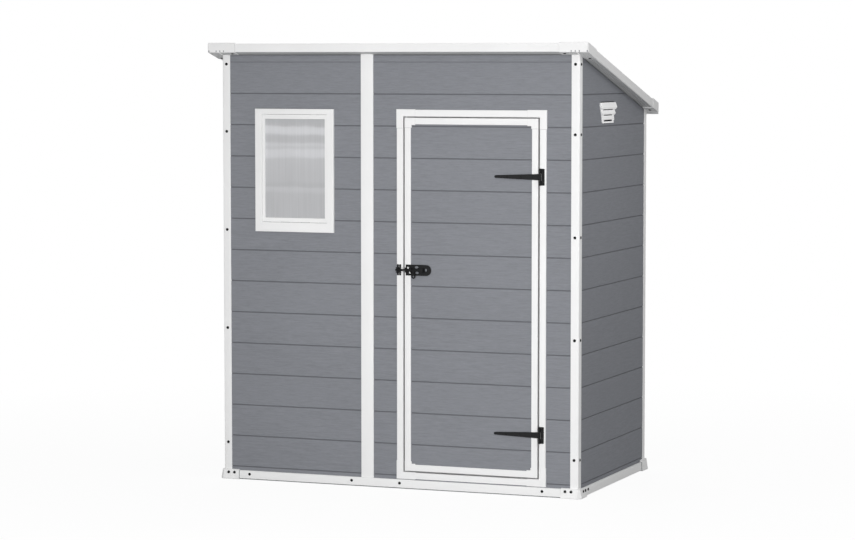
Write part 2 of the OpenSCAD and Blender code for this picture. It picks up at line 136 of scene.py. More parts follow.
class Shape:
    """A closed surface: corner points in metres and blocks of faces with the same number of corners.
    Points that fall together are one point, and the faces turn outwards."""

    def __init__(self, points, faces):
        places = np.asarray(points, float).reshape(-1, 3)
        _, first, new = np.unique(np.round(places, 7), axis=0, return_index=True, return_inverse=True)
        self.points = places[first]
        self.faces = [f for block in faces for f in self._cleaned(new.ravel()[np.asarray(block, int)])]
        if self._volume() < 0:
            self.faces = [f[:, ::-1] for f in self.faces]
        edges = [np.stack([f, np.roll(f, -1, axis=1)], -1).reshape(-1, 2) for f in self.faces]
        edges, count = np.concatenate(edges), len(self.points)
        there, back = edges @ [count, 1], edges @ [1, count]
        if len(np.unique(there)) < len(there) or not np.array_equal(np.sort(there), np.sort(back)):
            raise RuntimeError("A shape's surface is open or meets itself along an edge")

    @staticmethod
    def _cleaned(block):
        """Faces without the corners that fall on their neighbour, and none that has become a line."""
        same = block == np.roll(block, -1, axis=1)
        for lost in range(block.shape[1] - 2):
            rows = same.sum(1) == lost
            if rows.any():
                yield block[rows][~same[rows]].reshape(rows.sum(), -1)

    def _volume(self):
        """Sum of the tetrahedra between the origin and each face's fan of triangles."""
        corners = [self.points[f] for f in self.faces]
        return sum(np.einsum("nj,nkj->", c[:, 0], np.cross(c[:, 1:-1], c[:, 2:])) for c in corners)

    @classmethod
    def closed(cls, points, faces):
        """Shape from a surface that is known to be closed and tidy."""
        made = cls.__new__(cls)
        made.points, made.faces = points, faces
        return made

    def copies(self, places):
        """The same shape at each of several places."""
        places = np.asarray(places, float).reshape(-1, 3)
        points = (self.points[None] + places[:, None]).reshape(-1, 3)
        step = np.arange(len(places))[:, None, None] * len(self.points)
        return Shape.closed(points, [(f[None] + step).reshape(-1, f.shape[1]) for f in self.faces])

    def under_roof(self):
        """Points above the roof's underside come down to it."""
        self.points[:, 2] = np.minimum(self.points[:, 2], soffit(self.points[:, 1]))
        return self


def joined(*shapes):
    """Several shapes as one."""
    starts = np.cumsum([0] + [len(s.points) for s in shapes])
    faces = [f + start for s, start in zip(shapes, starts) for f in s.faces]
    return Shape.closed(np.concatenate([s.points for s in shapes]), faces)


def carry(sections, loop=False):
    """Skin over a run of closed sections, stations x corners x 3, with filled ends unless it loops."""
    stations, corners = sections.shape[:2]
    number = np.arange(stations * corners).reshape(stations, corners)
    grid = np.vstack([number, number[:1]]) if loop else number
    beside = np.roll(grid, -1, axis=1)
    skin = np.stack([grid[:-1], beside[:-1], beside[1:], grid[1:]], -1).reshape(-1, 4)
    ends = [] if loop else [number[:1, ::-1], number[-1:]]
    return Shape(sections, [skin, *ends])


def shell(outer, inner, keep=None):
    """Two sheets over one grid of rows and columns, closed by a band round the rim and round every hole.
    keep marks the cells that stay."""
    rows, columns = outer.shape[:2]
    count = rows * columns
    number = np.arange(count).reshape(rows, columns)
    cells = np.stack([number[:-1, :-1], number[:-1, 1:], number[1:, 1:], number[1:, :-1]], -1)
    cells = cells.reshape(-1, 4) if keep is None else cells[keep]
    start, end = cells.ravel(), np.roll(cells, -1, axis=1).ravel()
    rim = ~np.isin(start * count + end, end * count + start)
    band = np.stack([end[rim], start[rim], start[rim] + count, end[rim] + count], -1)
    points = np.concatenate([outer.reshape(-1, 3), inner.reshape(-1, 3)])
    return Shape(points, [cells, cells[:, ::-1] + count, band])


def rounded(corners, radius, steps=3):
    """Outline with softened corners. At each corner c the line slides along the parabola
    (1-s)(1-s) a + 2 s (1-s) c + s s b, where a and b lie one radius before and after c."""
    c = np.asarray(corners, float)
    r = np.broadcast_to(np.asarray(radius, float), len(c))[:, None]
    before, after = np.roll(c, 1, 0) - c, np.roll(c, -1, 0) - c
    a = c + r * before / np.linalg.norm(before, axis=1)[:, None]
    b = c + r * after / np.linalg.norm(after, axis=1)[:, None]
    s = np.linspace(0, 1, steps + 1)[None, :, None]
    return ((1 - s) ** 2 * a[:, None] + 2 * s * (1 - s) * c[:, None] + s**2 * b[:, None]).reshape(-1, 2)


def bearings(count):
    """Angles of a full turn in equal steps."""
    return np.arange(count) * 2 * np.pi / count


def arc(centre, radius, angles):
    """Points on a circle at the given angles."""
    return np.asarray(centre) + radius * np.column_stack([np.cos(angles), np.sin(angles)])


def rectangle(a0, a1, b0, b1):
    """The four corners of a rectangle."""
    return np.array([[a0, b0], [a1, b0], [a1, b1], [a0, b1]])


def grown(place, by):
    """A rectangle a0, a1, b0, b1 with its sides moved outwards."""
    return np.array(place) + by * np.array([-1, 1, -1, 1])


def divided(outline, parts):
    """Outline with each side cut into equal parts."""
    s = np.arange(parts)[None, :, None] / parts
    return (outline[:, None] * (1 - s) + np.roll(outline, -1, 0)[:, None] * s).reshape(-1, 2)


def drawn(side, outline, *outs):
    """Outline carried straight out through several distances."""
    return carry(facing(side, outline[:, 0], outline[:, 1], np.array(outs)[:, None]))


def block(side, a0, a1, b0, b1, low, high, soft=SOFTENED):
    """Block with all its edges softened: its rounded outline is drawn in by the soft edge at both ends."""
    middle, half = np.array([a0 + a1, b0 + b1]) / 2, np.array([a1 - a0, b1 - b0]) / 2
    ease = 1 - np.array([1, 0, 0, 1])[:, None, None] * soft / half
    rings = middle + (rounded(rectangle(a0, a1, b0, b1), soft) - middle) * ease
    out = np.array([low, low + soft, high - soft, high])
    return carry(facing(side, rings[..., 0], rings[..., 1], out[:, None]))


def plate(side, outline, low, high, edge):
    """Flat plate whose outer rim is drawn in by the edge: each corner moves against the sum of its two sides'
    normals, divided by 1 + their dot product."""
    ahead = np.roll(outline, -1, 0) - outline
    area = np.sum(outline[:, 0] * ahead[:, 1] - outline[:, 1] * ahead[:, 0])
    normal = np.stack([ahead[:, 1], -ahead[:, 0]], -1) * np.sign(area)
    normal /= np.linalg.norm(normal, axis=1)[:, None]
    last = np.roll(normal, 1, 0)
    inset = outline - edge * (normal + last) / (1 + np.sum(normal * last, 1))[:, None]
    rings = np.stack([outline, outline, inset])
    return carry(facing(side, rings[..., 0], rings[..., 1], np.array([low, high - edge, high])[:, None]))


def turned(side, centre, profile, count=24, ring=False):
    """Profile of radius and height out, spun round the line that stands out from the side at centre.
    A ring's profile is a closed line that keeps clear of the middle."""
    radius, out = np.asarray(profile, float).T
    way = arc((0, 0), 1, bearings(count))
    points = facing(side, centre[0] + way[:, :1] * radius, centre[1] + way[:, 1:] * radius, out)
    return carry(points, loop=True) if ring else carry(points.swapaxes(0, 1))


def rod(side, centre, radius, low, high, ease, count):
    """Round bar that stands out from a side, with both its ends eased."""
    profile = [[radius - ease, low], [radius, low + ease], [radius, high - ease], [radius - ease, high]]
    return turned(side, centre, profile, count)


def pierced(side, outline, centre, hole, low, high, lip=0.0):
    """Plate with one hole. Each corner of the outline has its partner on the hole's edge at the same bearing,
    and the hole's edge may stand out by a lip."""
    away = outline - centre
    bearing = away / np.linalg.norm(away, axis=1)[:, None]
    rim, edge = (centre + bearing * (np.asarray(hole) + wide) for wide in (SOFTENED * (lip > 0), 0))
    ring = np.stack([outline, outline, rim, edge, edge], 1)
    out = np.array([low, high, high, high + lip, low])
    return carry(facing(side, ring[..., 0], ring[..., 1], out), loop=True)


def framed(side, rectangles, widths, profile):
    """Profile of width and height out, carried round a rectangle with mitred corners. At each width from the
    outer edge the ring is the rectangle between the given ones, side by side."""
    width, out = np.asarray(profile, float).T
    a0, a1, b0, b1 = (np.interp(width, widths, line) for line in np.array(rectangles).T)
    return carry(facing(side, np.stack([a0, a1, a1, a0]), np.stack([b0, b0, b1, b1]), out), loop=True)


def elbow(side, corner, inward, legs, profile):
    """Profile of width and height out, carried along an L from the end of one leg round a corner to the end
    of the other. The corner is mitred, so there both legs lie at the same width."""
    width, out = np.asarray(profile, float).T
    a = corner[0] + inward[0] * np.stack([np.full_like(width, legs[0]), width, width])
    b = corner[1] + inward[1] * np.stack([width, width, np.full_like(width, legs[1])])
    return carry(facing(side, a, b, out))


def sheet(side, across, up, face, back, holes=(), roofed=False):
    """Panel over a grid. Its face and back are how far out they stand: a number, one number for each grid
    point, or a function of the height. holes are rectangles on grid lines. A roofed panel's upper rows come
    down to the roof's underside."""
    a, b = np.meshgrid(across, up)
    sheets = []
    for out in (face, back):
        depth = out(b) if callable(out) else out
        height = np.minimum(b, soffit(facing(side, a, b, depth)[..., 1]) - ROOF_JOINT) if roofed else b
        sheets.append(facing(side, a, height, out(height) if callable(out) else out))
    mid_a, mid_b = (across[1:] + across[:-1]) / 2, ((up[1:] + up[:-1]) / 2)[:, None]
    keep = np.ones((len(up) - 1, len(across) - 1), bool)
    for a0, a1, b0, b1 in holes:
        keep &= (mid_a < a0) | (mid_a > a1) | (mid_b < b0) | (mid_b > b1)
    return shell(*sheets, keep)


def stops(low, high, *marks):
    """Sorted grid lines from low to high with the marks that lie between."""
    marks = np.concatenate([np.ravel(m) for m in marks]) if marks else np.array([])
    inside = np.sort(marks[(marks > low + 1e-5) & (marks < high - 1e-5)])
    return np.concatenate([[low], inside[np.diff(inside, prepend=low) > 1e-6], [high]])


# Finishes


class Link:
    """A node's output. The arithmetic signs on it add Math nodes."""

    def __init__(self, finish, socket):
        self.finish, self.socket = finish, socket

    def _math(self, operation, *values):
        return self.finish.add("ShaderNodeMath", {"operation": operation}, dict(enumerate(values)))

    def __add__(self, other):
        return self._math("ADD", self, other)

    def __sub__(self, other):
        return self._math("SUBTRACT", self, other)

    def __rsub__(self, other):
        return self._math("SUBTRACT", other, self)

    def __mul__(self, other):
        return self._math("MULTIPLY", self, other)

    def __truediv__(self, other):
        return self._math("DIVIDE", self, other)

    __radd__ = __add__
    __rmul__ = __mul__

    def floor(self):
        return self._math("FLOOR", self)

    def size(self):
        """The value without its sign."""
        return self._math("ABSOLUTE", self)

    def high_of(self, other):
        return self._math("MAXIMUM", self, other)

    def between(self, low, high):
        """0 at low, 1 at high, and held there beyond them."""
        return self.finish.add("ShaderNodeMapRange", {}, {0: self, 1: low, 2: high})


class Finish:
    """Node tree of one material or of the world."""

    def __init__(self, owner):
        owner.use_nodes = True
        self.tree = owner.node_tree
        self.tree.nodes.clear()

    def add(self, kind, settings=None, sockets=None, output=0):
        """Any node: its type, its settings, then the values or links of its sockets. Returns one output."""
        node = self.tree.nodes.new(kind)
        for name, value in (settings or {}).items():
            if name == "stops":
                marks = node.color_ramp.elements
                marks.remove(marks[1])
                for number, (position, grey) in enumerate(value):
                    mark = marks.new(position) if number else marks[0]
                    mark.position, mark.color = position, (grey, grey, grey, 1)
                node.color_ramp.interpolation = "B_SPLINE"
            else:
                setattr(node, name, value)
        for name, value in (sockets or {}).items():
            if isinstance(value, Link):
                self.tree.links.new(value.socket, node.inputs[name])
            else:
                node.inputs[name].default_value = value
        return Link(self, node.outputs[output]) if node.outputs else None

    def outputs(self, kind, sockets, names):
        """One node's outputs by their names."""
        made = self.add(kind, {}, sockets).socket.node.outputs
        return [Link(self, made[name]) for name in names]

    def place(self):
        """The point's own x, y and z in metres, in the frame that all pieces share."""
        point = self.add("ShaderNodeTexCoord", output="Object")
        return self.outputs("ShaderNodeSeparateXYZ", {0: point}, "XYZ")

    def noise(self, x, y, z, detail=2.0, rough=0.5):
        """Noise at a point that is given by three links or numbers."""
        point = self.add("ShaderNodeCombineXYZ", {}, {0: x, 1: y, 2: z})
        values = {"Vector": point, "Scale": 1.0, "Detail": detail, "Roughness": rough}
        return self.add("ShaderNodeTexNoise", {"normalize": True}, values)

    def speckle(self, scale, detail=2.0):
        """Noise of the same scale every way."""
        x, y, z = self.place()
        return self.noise(x * scale, y * scale, z * scale, detail)

    def blend(self, factor, low, high):
        """Colour between two colours."""
        low, high = (v if isinstance(v, Link) else (*v, 1) for v in (low, high))
        return self.add("ShaderNodeMix", {"data_type": "RGBA"}, {0: factor, 6: low, 7: high}, 2)

    def tones(self, factor, colour, low, high):
        """Colour between two shades of one colour."""
        return self.blend(factor, shade(colour, low), shade(colour, high))

    def surface(self, colour, roughness, height, distance, strength, **constant):
        """Ends the tree in a Principled shader with a bump. constant holds plain values, _ for a blank."""
        relief = {"Height": height, "Distance": distance, "Strength": strength}
        normal = self.add("ShaderNodeBump", {}, relief)
        values = {"Base Color": colour, "Roughness": roughness, "Normal": normal}
        values.update({name.replace("_", " "): value for name, value in constant.items()})
        shader = self.add("ShaderNodeBsdfPrincipled", {}, values)
        self.add("ShaderNodeOutputMaterial", {}, {"Surface": shader})


def shade(colour, factor):
    """A colour made lighter or darker."""
    return tuple(min(1.0, c * factor) for c in colour)


def grey_resin(finish, scene):
    """Grey wall boards: pressed wood grain along each board, different on every one, with a satin sheen, and
    painted shade in the seams between boards.
    """
    boards, colour = scene.shed_boards, scene.shed_colours.boards
    x, y, z = finish.place()
    board = ((boards.top_seam - z) / boards.pitch).floor()
    along = x + y + board * 3.37
    sway = finish.noise(along * 2.6, z * 9.0, board * 5.1, 1.0) - 0.5
    streak = finish.noise(along * 15.0, board * 2.3, z * 190.0 + sway * 1.2, 2.0, 0.7)
    pore = finish.noise(along * 55.0, board * 4.7, z * 420.0 + sway * 2.5, 1.0)
    grain = streak * 0.7 + pore * 0.3
    patch = finish.noise(x * 1.7, y * 1.7, z * 2.3, 1.0)
    tone = (grain * 0.8 + patch * 0.2).between(0.34, 0.66)
    share = (boards.top_seam - z) / boards.pitch - board
    # Painted shade: the colour darkens in each seam's groove, and less at the top seam, which lies in the
    # shade under the roof's edge.
    groove = ((0.5 - (share - 0.5).size()) * boards.pitch).between(0.0012, 0.003)
    top_band = z.between(boards.top_seam - 0.03, boards.top_seam - 0.02)
    wood = finish.tones(tone, colour, 0.9, 1.1)
    base = finish.blend(groove.high_of(top_band * 0.6), shade(colour, 0.66), wood)
    finish.surface(base, tone * 0.1 + 0.62, grain, boards.grain_depth, 0.7, Specular_IOR_Level=0.06)


def moulded_white(finish, colour):
    """Smooth moulded plastic with a very fine orange peel, and painted shade that darkens the roof's
    outermost faces.
    """
    peel, patch = finish.speckle(420.0, 1.0), finish.speckle(3.0, 1.0).between(0.3, 0.7)
    # Painted shade: the white is darker on the outermost faces of the roof's edge boards and caps.
    outermost = finish.place()[0].size().between(VERGE_HIGH[0] - 0.0015, VERGE_HIGH[0] - 0.0005)
    plain, painted_shade_white = (finish.tones(patch, colour, share * 0.98, share * 1.01) for share in (1, 0.85))
    base = finish.blend(outermost, plain, painted_shade_white)
    finish.surface(base, patch * 0.08 + 0.5, peel, 0.0001, 0.5, Specular_IOR_Level=0.15)


def white_resin(finish, scene):
    """White trims and posts."""
    moulded_white(finish, scene.shed_colours.trims)


def vent_painted_light(finish, scene):
    """The vent's white, made brighter as painted light."""
    moulded_white(finish, shade(scene.shed_colours.trims, 1.2))


def gap_shade_resin(finish, scene):
    """A pale grey sheet behind the door's gap: painted shade."""
    moulded_white(finish, shade(scene.shed_colours.trims, 0.75))


def roof_resin(finish, scene):
    """Grey roof panel: fine stipple and slightly dulled by weather."""
    colour = scene.shed_colours.roof
    x, y, z = finish.place()
    patch = finish.noise(x * 2.1, y * 4.2, z).between(0.3, 0.7)
    base = finish.tones(patch, colour, 0.92, 1.08)
    finish.surface(base, patch * 0.12 + 0.55, finish.speckle(260.0), 0.0003, 0.6, Specular_IOR_Level=0.3)


def floor_resin(finish, scene):
    """Dark grey floor: coarse non-slip stipple, scuffed in patches."""
    colour = scene.shed_colours.floor
    x, y, z = finish.place()
    stipple = finish.noise(x * 160.0, y * 160.0, z)
    scuff = finish.noise(x * 5.0, y * 5.0, z, 3.0).between(0.35, 0.7)
    base = finish.tones(scuff, colour, 0.9, 1.12)
    finish.surface(base, scuff * 0.15 + 0.5, stipple, 0.0006, 0.6, IOR=1.45)


def pane_sheet(finish, scene):
    """Milky twin-wall sheet: upright webs inside it, and soft level bands of painted reflection and of
    painted light showing through.
    """
    colour = scene.shed_colours.pane
    low, high = span("window_pane")
    x, y, z = finish.place()
    up = (z - low[2]) / (high[2] - low[2])
    # Painted reflection and light: level bands of lighter and darker grey up the sheet.
    bands = [
        (0.24, 0.1), (0.275, 0.4), (0.305, 0.4), (0.318, 0.05), (0.345, 0.05), (0.375, 0.22), (0.59, 0.22),
        (0.62, 0.85), (0.69, 0.85), (0.705, 0.45), (0.72, 0.45), (0.735, 0.65), (0.752, 0.65), (0.77, 0.13),
        (0.835, 0.13), (0.86, 1.0), (0.915, 1.0), (0.935, 0.0)]
    cloud = finish.noise(x * 7.0, 0.0, z * 16.0, 3.0) - 0.5
    band = finish.add("ShaderNodeValToRGB", {"stops": bands}, {0: up + cloud * 0.06})
    streak = finish.noise(x * 160.0, 0.0, z * 1.5, 1.0) - 0.5
    blotch = finish.noise(x * 14.0, 0.0, z * 5.0) - 0.5
    base = finish.tones(band + streak * 0.55 + blotch * 0.35, colour, 0.87, 1.23)
    peel = finish.noise(x * 30.0, y, z * 4.0, 1.0)
    finish.surface(base, streak * 0.08 + 0.3, peel, 0.0004, 0.3, Specular_IOR_Level=0.3, Alpha=0.92)


def black_steel(finish, scene):
    """Black powder-coated steel: a fine pebbled coat with a low sheen."""
    colour = scene.shed_colours.fittings
    pebble, patch = finish.speckle(900.0, 1.0), finish.speckle(40.0).between(0.3, 0.7)
    base = finish.tones(patch, colour, 0.85, 1.25)
    finish.surface(base, patch * 0.15 + 0.42, pebble, 0.00015, 0.6, Specular_IOR_Level=0.12)


FINISHES = {
    made.__name__: made
    for made in (
        grey_resin, white_resin, vent_painted_light, gap_shade_resin, roof_resin, floor_resin, pane_sheet, black_steel)
}


def finished(kind):
    """The material of one kind of finish, made at its first use."""
    name = f"{kind}_finish"
    if name not in bpy.data.materials:
        FINISHES[kind](Finish(bpy.data.materials.new(name)), bpy.context.scene)
    return bpy.data.materials[name]


def make(name, shape, slot, nodes=(), body="shed", kind=None):
    """Puts a shape into the scene as a finished piece that rides on a body and stands for its CAD nodes."""
    mesh = bpy.data.meshes.new(name)
    mesh.from_pydata(shape.points.tolist(), [], [face for f in shape.faces for face in f.tolist()])
    if mesh.validate():
        raise RuntimeError(f"{name}: the surface has faulty faces")
    mesh.shade_smooth()
    mesh.set_sharp_from_angle(angle=SHARP)
    mesh.materials.append(finished(kind or slot))
    piece = bpy.data.objects.new(name, mesh)
    bpy.context.scene.collection.objects.link(piece)
    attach(piece, body)
    if nodes:
        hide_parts(*nodes)


# Settings


def length(name, description, default, low, high):
    """A size in metres that a user may change."""
    return FloatProperty(name=name, description=description, default=default, min=low, max=high,
                         precision=4, unit="LENGTH", subtype="DISTANCE")


def tint(name, description, default):
    """A colour that a user may change."""
    return FloatVectorProperty(name=name, description=description, default=default, size=3, min=0.0, max=1.0,
                               subtype="COLOR")


def power(name, description, default):
    """A lamp's power in watts that a user may change."""
    return FloatProperty(name=name, description=description, default=default, min=0.0, max=1000.0,
                         unit="POWER")


def aim(name, description, degrees):
    """A direction of the camera that a user may change."""
    return FloatProperty(name=name, description=description, default=math.radians(degrees), subtype="ANGLE")


class ShedBoards(bpy.types.PropertyGroup):
    """Sizes of the moulded wall boards."""

    pitch: length("Board height", "Height of one board from seam to seam", 0.143, 0.08, 0.25)
    top_seam: length("Top seam", "Height of the uppermost seam", 1.918, 1.5, 2.0)
    seam_width: length("Seam width", "Width of the groove between two boards", 0.0046, 0.002, 0.01)
    seam_depth: length("Seam depth", "Depth of the groove between two boards", 0.003, 0.001, 0.006)
    crown: length("Crown", "How far a board's edges lie behind its middle", 0.0004, 0.0, 0.002)
    grain_depth: length("Grain depth", "Depth of the pressed wood grain", 0.0009, 0.0, 0.003)


class ShedTrim(bpy.types.PropertyGroup):
    """Sizes of the white trims."""

    soft: length("Edge radius", "Radius of the trims' edges", 0.002, 0.0005, 0.004)
    frame_leg: length("Corner leg", "Length of a leg of the door's corner pieces", 0.088, 0.06, 0.15)
    corner_proud: length("Corner step", "How far a corner piece stands proud", 0.0008, 0.0003, 0.002)
    rib_pitch: length("Pane web spacing", "Distance between the window sheet's webs", 0.010, 0.006, 0.02)
    rib_height: length("Pane web height", "How far the webs show on the sheet's face", 0.0004, 0.0, 0.001)
    strip_gap: length("Skirting joint", "Open joint between a skirting strip and a foot", 0.0008, 0.0, 0.006)
    strip_start: length("Skirting start", "Open joint at a long skirting's left end", 0.0035, 0.0, 0.006)
    strip_far: length("Side joint", "Open joint between side skirting and rear foot", 0.011, 0.0, 0.02)
    sill_gap: length("Sill joint", "Open joint between door frame and skirting", 0.0045, 0.0, 0.008)
    strip_end: length("Side start", "Distance from the front to the side skirting", 0.018, 0.01, 0.078)


class ShedRoof(bpy.types.PropertyGroup):
    """Sizes of the roof panel's relief."""

    rib_pitch: length("Rib spacing", "Distance between the ribs that run down the slope", 0.150, 0.08, 0.3)
    rib_width: length("Rib width", "Width of a rib at its foot", 0.044, 0.02, 0.08)
    rib_height: length("Rib height", "Height of a rib", 0.0034, 0.001, 0.0038)


class ShedFixings(bpy.types.PropertyGroup):
    """Sizes of the screws."""

    head: length("Screw head", "Diameter of a screw's head", 0.013, 0.008, 0.016)
    dome: length("Head height", "Height of a screw's head", 0.0035, 0.002, 0.006)
    per_side: IntProperty(name="Head facets", description="Sides of a screw's head", default=24, min=12,
                          max=48)


class ShedColours(bpy.types.PropertyGroup):
    """Colours of the parts."""

    boards: tint("Boards", "Grey of the wall boards", (0.224, 0.232, 0.253))
    trims: tint("Trims", "White of the posts, frames and edges", (0.832, 0.832, 0.832))
    roof: tint("Roof", "Grey of the roof panel", (0.45, 0.455, 0.46))
    floor: tint("Floor", "Grey of the floor", (0.2, 0.21, 0.22))
    pane: tint("Pane", "Milky grey of the window's sheet", (0.548, 0.552, 0.567))
    fittings: tint("Fittings", "Black of the hinges, bolt and screws", (0.009, 0.0092, 0.01))


class ShedStage(bpy.types.PropertyGroup):
    """Light and camera."""

    high: power("High light", "Power of the soft light above the front", 16.0)
    low: power("Low light", "Power of the soft light low in front", 98.0)
    side: power("Side light", "Power of the soft light on the right", 24.0)
    behind: power("Back light", "Power of the soft light behind", 60.0)
    ambient: FloatProperty(name="Ambient light", description="Strength of the even light all round",
                           default=0.4, min=0.0, max=1.0)
    lens: FloatProperty(name="Lens", description="Focal length in millimetres", default=118.75, min=20.0,
                        max=300.0)
    turn: aim("Turn", "How far the camera looks to the left", 21.48)
    tilt: aim("Tilt", "How far the camera looks down", 4.26)


# Pieces


def boarded(side, place, back, face, holes=(), roofed=False):
    """Wall panel moulded as boards. Its face lies back by depth * exp(-(2 d / width)^4) at a distance d from
    a seam, and by crown * (2u - 1)^2 at the share u of a board's height. The back has the same seams at half
    their depth."""
    boards = bpy.context.scene.shed_boards
    a0, a1, b0, b1 = place
    lowest, highest = b0 + 0.006, b1 - 0.004
    seams = boards.top_seam - boards.pitch * np.arange(20)
    seams = seams[(seams > lowest) & (seams < highest)]
    groove = np.array([-1.0, -0.62, -0.45, -0.28, 0, 0.28, 0.45, 0.62, 1.0]) * boards.seam_width
    swell = np.array([0.12, 0.3, 0.5, 0.7, 0.88]) * boards.pitch
    up = stops(b0, b1, seams[:, None] + groove, np.append(seams, seams[-1:] - boards.pitch)[:, None] + swell,
               [h[2:] for h in holes])
    across = stops(a0, a1, [h[:2] for h in holes])
    if roofed and side in ("left", "right"):
        crossing = (FRONT + (POST_HIGH[2] - ROOF_JOINT - up) / FALL) * (1 if side == "right" else -1)
        across = stops(a0, a1, across, crossing)

    def dip(height):
        near = np.min(np.abs(height[..., None] - seams), axis=-1)
        depth = np.where(height > boards.top_seam - 0.02, 0.5, 1.0) * boards.seam_depth
        return depth * np.exp(-((2 * near / boards.seam_width) ** 4))

    def front(height):
        share = ((boards.top_seam - height) / boards.pitch) % 1
        return face - dip(height) - boards.crown * (2 * share - 1) ** 2

    return sheet(side, across, up, front, lambda height: back + dip(height) / 2, holes, roofed)


def wall(name, node, side, cut=None, holes=()):
    """Boarded panel up to the roof, in two strips where it makes room for a rectangle's width."""
    (a0, a1, b0, b1), back, face = face_of(node, side)
    ends = [(a0, a1)] if cut is None else [(a0, cut[0]), (cut[1], a1)]
    panels = [boarded(side, [*pair, b0, b1], back, face, holes, True) for pair in ends]
    make(name, joined(*panels), "grey_resin", [node])


class SHED_OT_boards(bpy.types.Operator):
    """Grey wall panels with their boards, cut for the window, the door and the vent"""

    bl_idname = "shed.boards"
    bl_label = "Wall boards"

    def execute(self, context):
        sash, _, _ = face_of("window_sash", "front")
        wall("boards_window_side", "front_wall_window", "front", holes=[grown(sash, SLEEVE)])
        over_door, _, _ = face_of("front_wall_over_door", "front")
        wall("boards_beside_door", "front_wall_beside_door", "front", over_door)
        wall("boards_over_door", "front_wall_over_door", "front")
        wall("boards_left", "left_wall", "left")
        (a0, a1, b0, b1), _, _ = face_of("side_vent", "right")
        middle = (a0 + a1) / 2
        steps = ((0.070, b0 + 0.008, b1 - 0.010), (0.100, b1 - 0.010, b1 + 0.004))
        holes = [[middle - half, middle + half, low, high] for half, low, high in steps]
        wall("boards_right", "right_wall", "right", holes=holes)
        strip, _, _ = face_of("back_mullion", "back")
        wall("boards_back", "back_wall", "back", strip)
        return {"FINISHED"}


class SHED_OT_posts(bpy.types.Operator):
    """White corner posts with a rounded outer edge, and the flat strips over the panels' joints"""

    bl_idname = "shed.posts"
    bl_label = "Corner posts and strips"

    def execute(self, context):
        for end, toward in ENDS:
            for hand, sign in HANDS:
                self.upright(f"post_{end}_{hand}", f"corner_post_{end}_{hand}", SOFTENED, [sign, toward])
        for end, _ in ENDS:
            self.upright(f"{end}_mullion", f"{end}_strip", 0.0014)
        return {"FINISHED"}

    @staticmethod
    def upright(node, name, radius, outward=None):
        """Post or strip up to the roof. The corner that looks outward is rounder than the others."""
        low, high = span(node)
        corners = rectangle(low[0], high[0], low[1], high[1])
        steps = 3
        if outward:
            outer = np.all(np.sign(corners - corners.mean(0)) == outward, axis=1)
            radius, steps = np.where(outer, 0.006, radius), 5
        made = drawn("top", rounded(corners, radius, steps), low[2], OVERHEAD).under_roof()
        make(name, made, "white_resin", [node])


def skirting(side, place, back, face, soft):
    """Skirting strip: its face leans in a little towards the top, where its edge is rounded."""
    a0, a1, b0, b1 = place
    lean = 0.0012
    corners = [[back, b0], [face, b0], [face - lean, b1], [back, b1]]
    outline = rounded(corners, [CRISP, soft, soft * 1.4, CRISP], 4)
    return carry(facing(side, np.array([a0, a1])[:, None], outline[:, 1], outline[:, 0]))


def foot(node, sign):
    """Corner foot: a section that leans in towards its top, carried from the end of one leg to the floor's
    corner, turned there to make the chamfer, and on to the end of the other leg, which has its own height."""
    low, high = span(node)
    front_top = span("skirt_front")[1][2] + 0.003
    side_top = front_top - 0.007 if sign[1] < 0 else high[2]
    turn_top = max(side_top, front_top)
    flare = max(-low[0], high[0]) - HALF_W
    tuck, grip, edge, toe = 0.004, 0.007, 0.0015, 0.003
    corner = np.array([HALF_W * sign[0], FRONT if sign[1] < 0 else BACK])
    inner = np.where(sign > 0, low[:2], high[:2])
    past, near_tip = corner[1] - 0.015 * sign[1], inner[1] + 0.016 * sign[1]

    def section(height, start, way):
        out = np.array([-tuck, flare - 0.002, flare, grip + 0.0012, grip - edge, -tuck])
        up = np.array([0.0, 0.0, toe, height - edge, height, height])
        return np.column_stack([np.add(start, np.outer(out, way)), up])

    ahead, aside = [0, sign[1]], [sign[0], 0]
    return carry(np.array([
        section(front_top, [inner[0], corner[1]], ahead),
        section(front_top, corner, ahead),
        section(turn_top, corner, ahead),
        section(turn_top, corner, aside),
        section(turn_top, [corner[0], past], aside),
        section(side_top, [corner[0], past - 0.001 * sign[1]], aside),
        section(side_top, [corner[0], near_tip], aside),
        section(side_top - 0.0045, [corner[0], inner[1]], aside),
    ]))


def tread():
    """Floor panel with raised square pads: a pad's edge climbs over the ramp on both sides of a gap."""
    low, high = span("floor_panel")
    pitch, gap, ramp, proud = 0.108, 0.010, 0.003, 0.0016
    inner_x, inner_y = 0.838, 0.460
    middle = (low[1] + high[1]) / 2
    marks = np.arange(-8, 9)[:, None] * pitch + np.array([-gap / 2 - ramp, -gap / 2, gap / 2, gap / 2 + ramp])
    across = stops(low[0], high[0], marks, [-inner_x, inner_x])
    up = stops(low[1], high[1], middle + marks, [middle - inner_y, middle + inner_y])

    def pads(value, reach):
        off = np.abs((value + pitch / 2) % pitch - pitch / 2)
        return np.clip((off - gap / 2) / ramp, 0, 1) * (np.abs(value) < reach)

    raised = np.minimum(pads(across, inner_x)[None], pads(up - middle, inner_y)[:, None])
    return sheet("top", across, up, high[2] - proud + proud * raised, low[2])


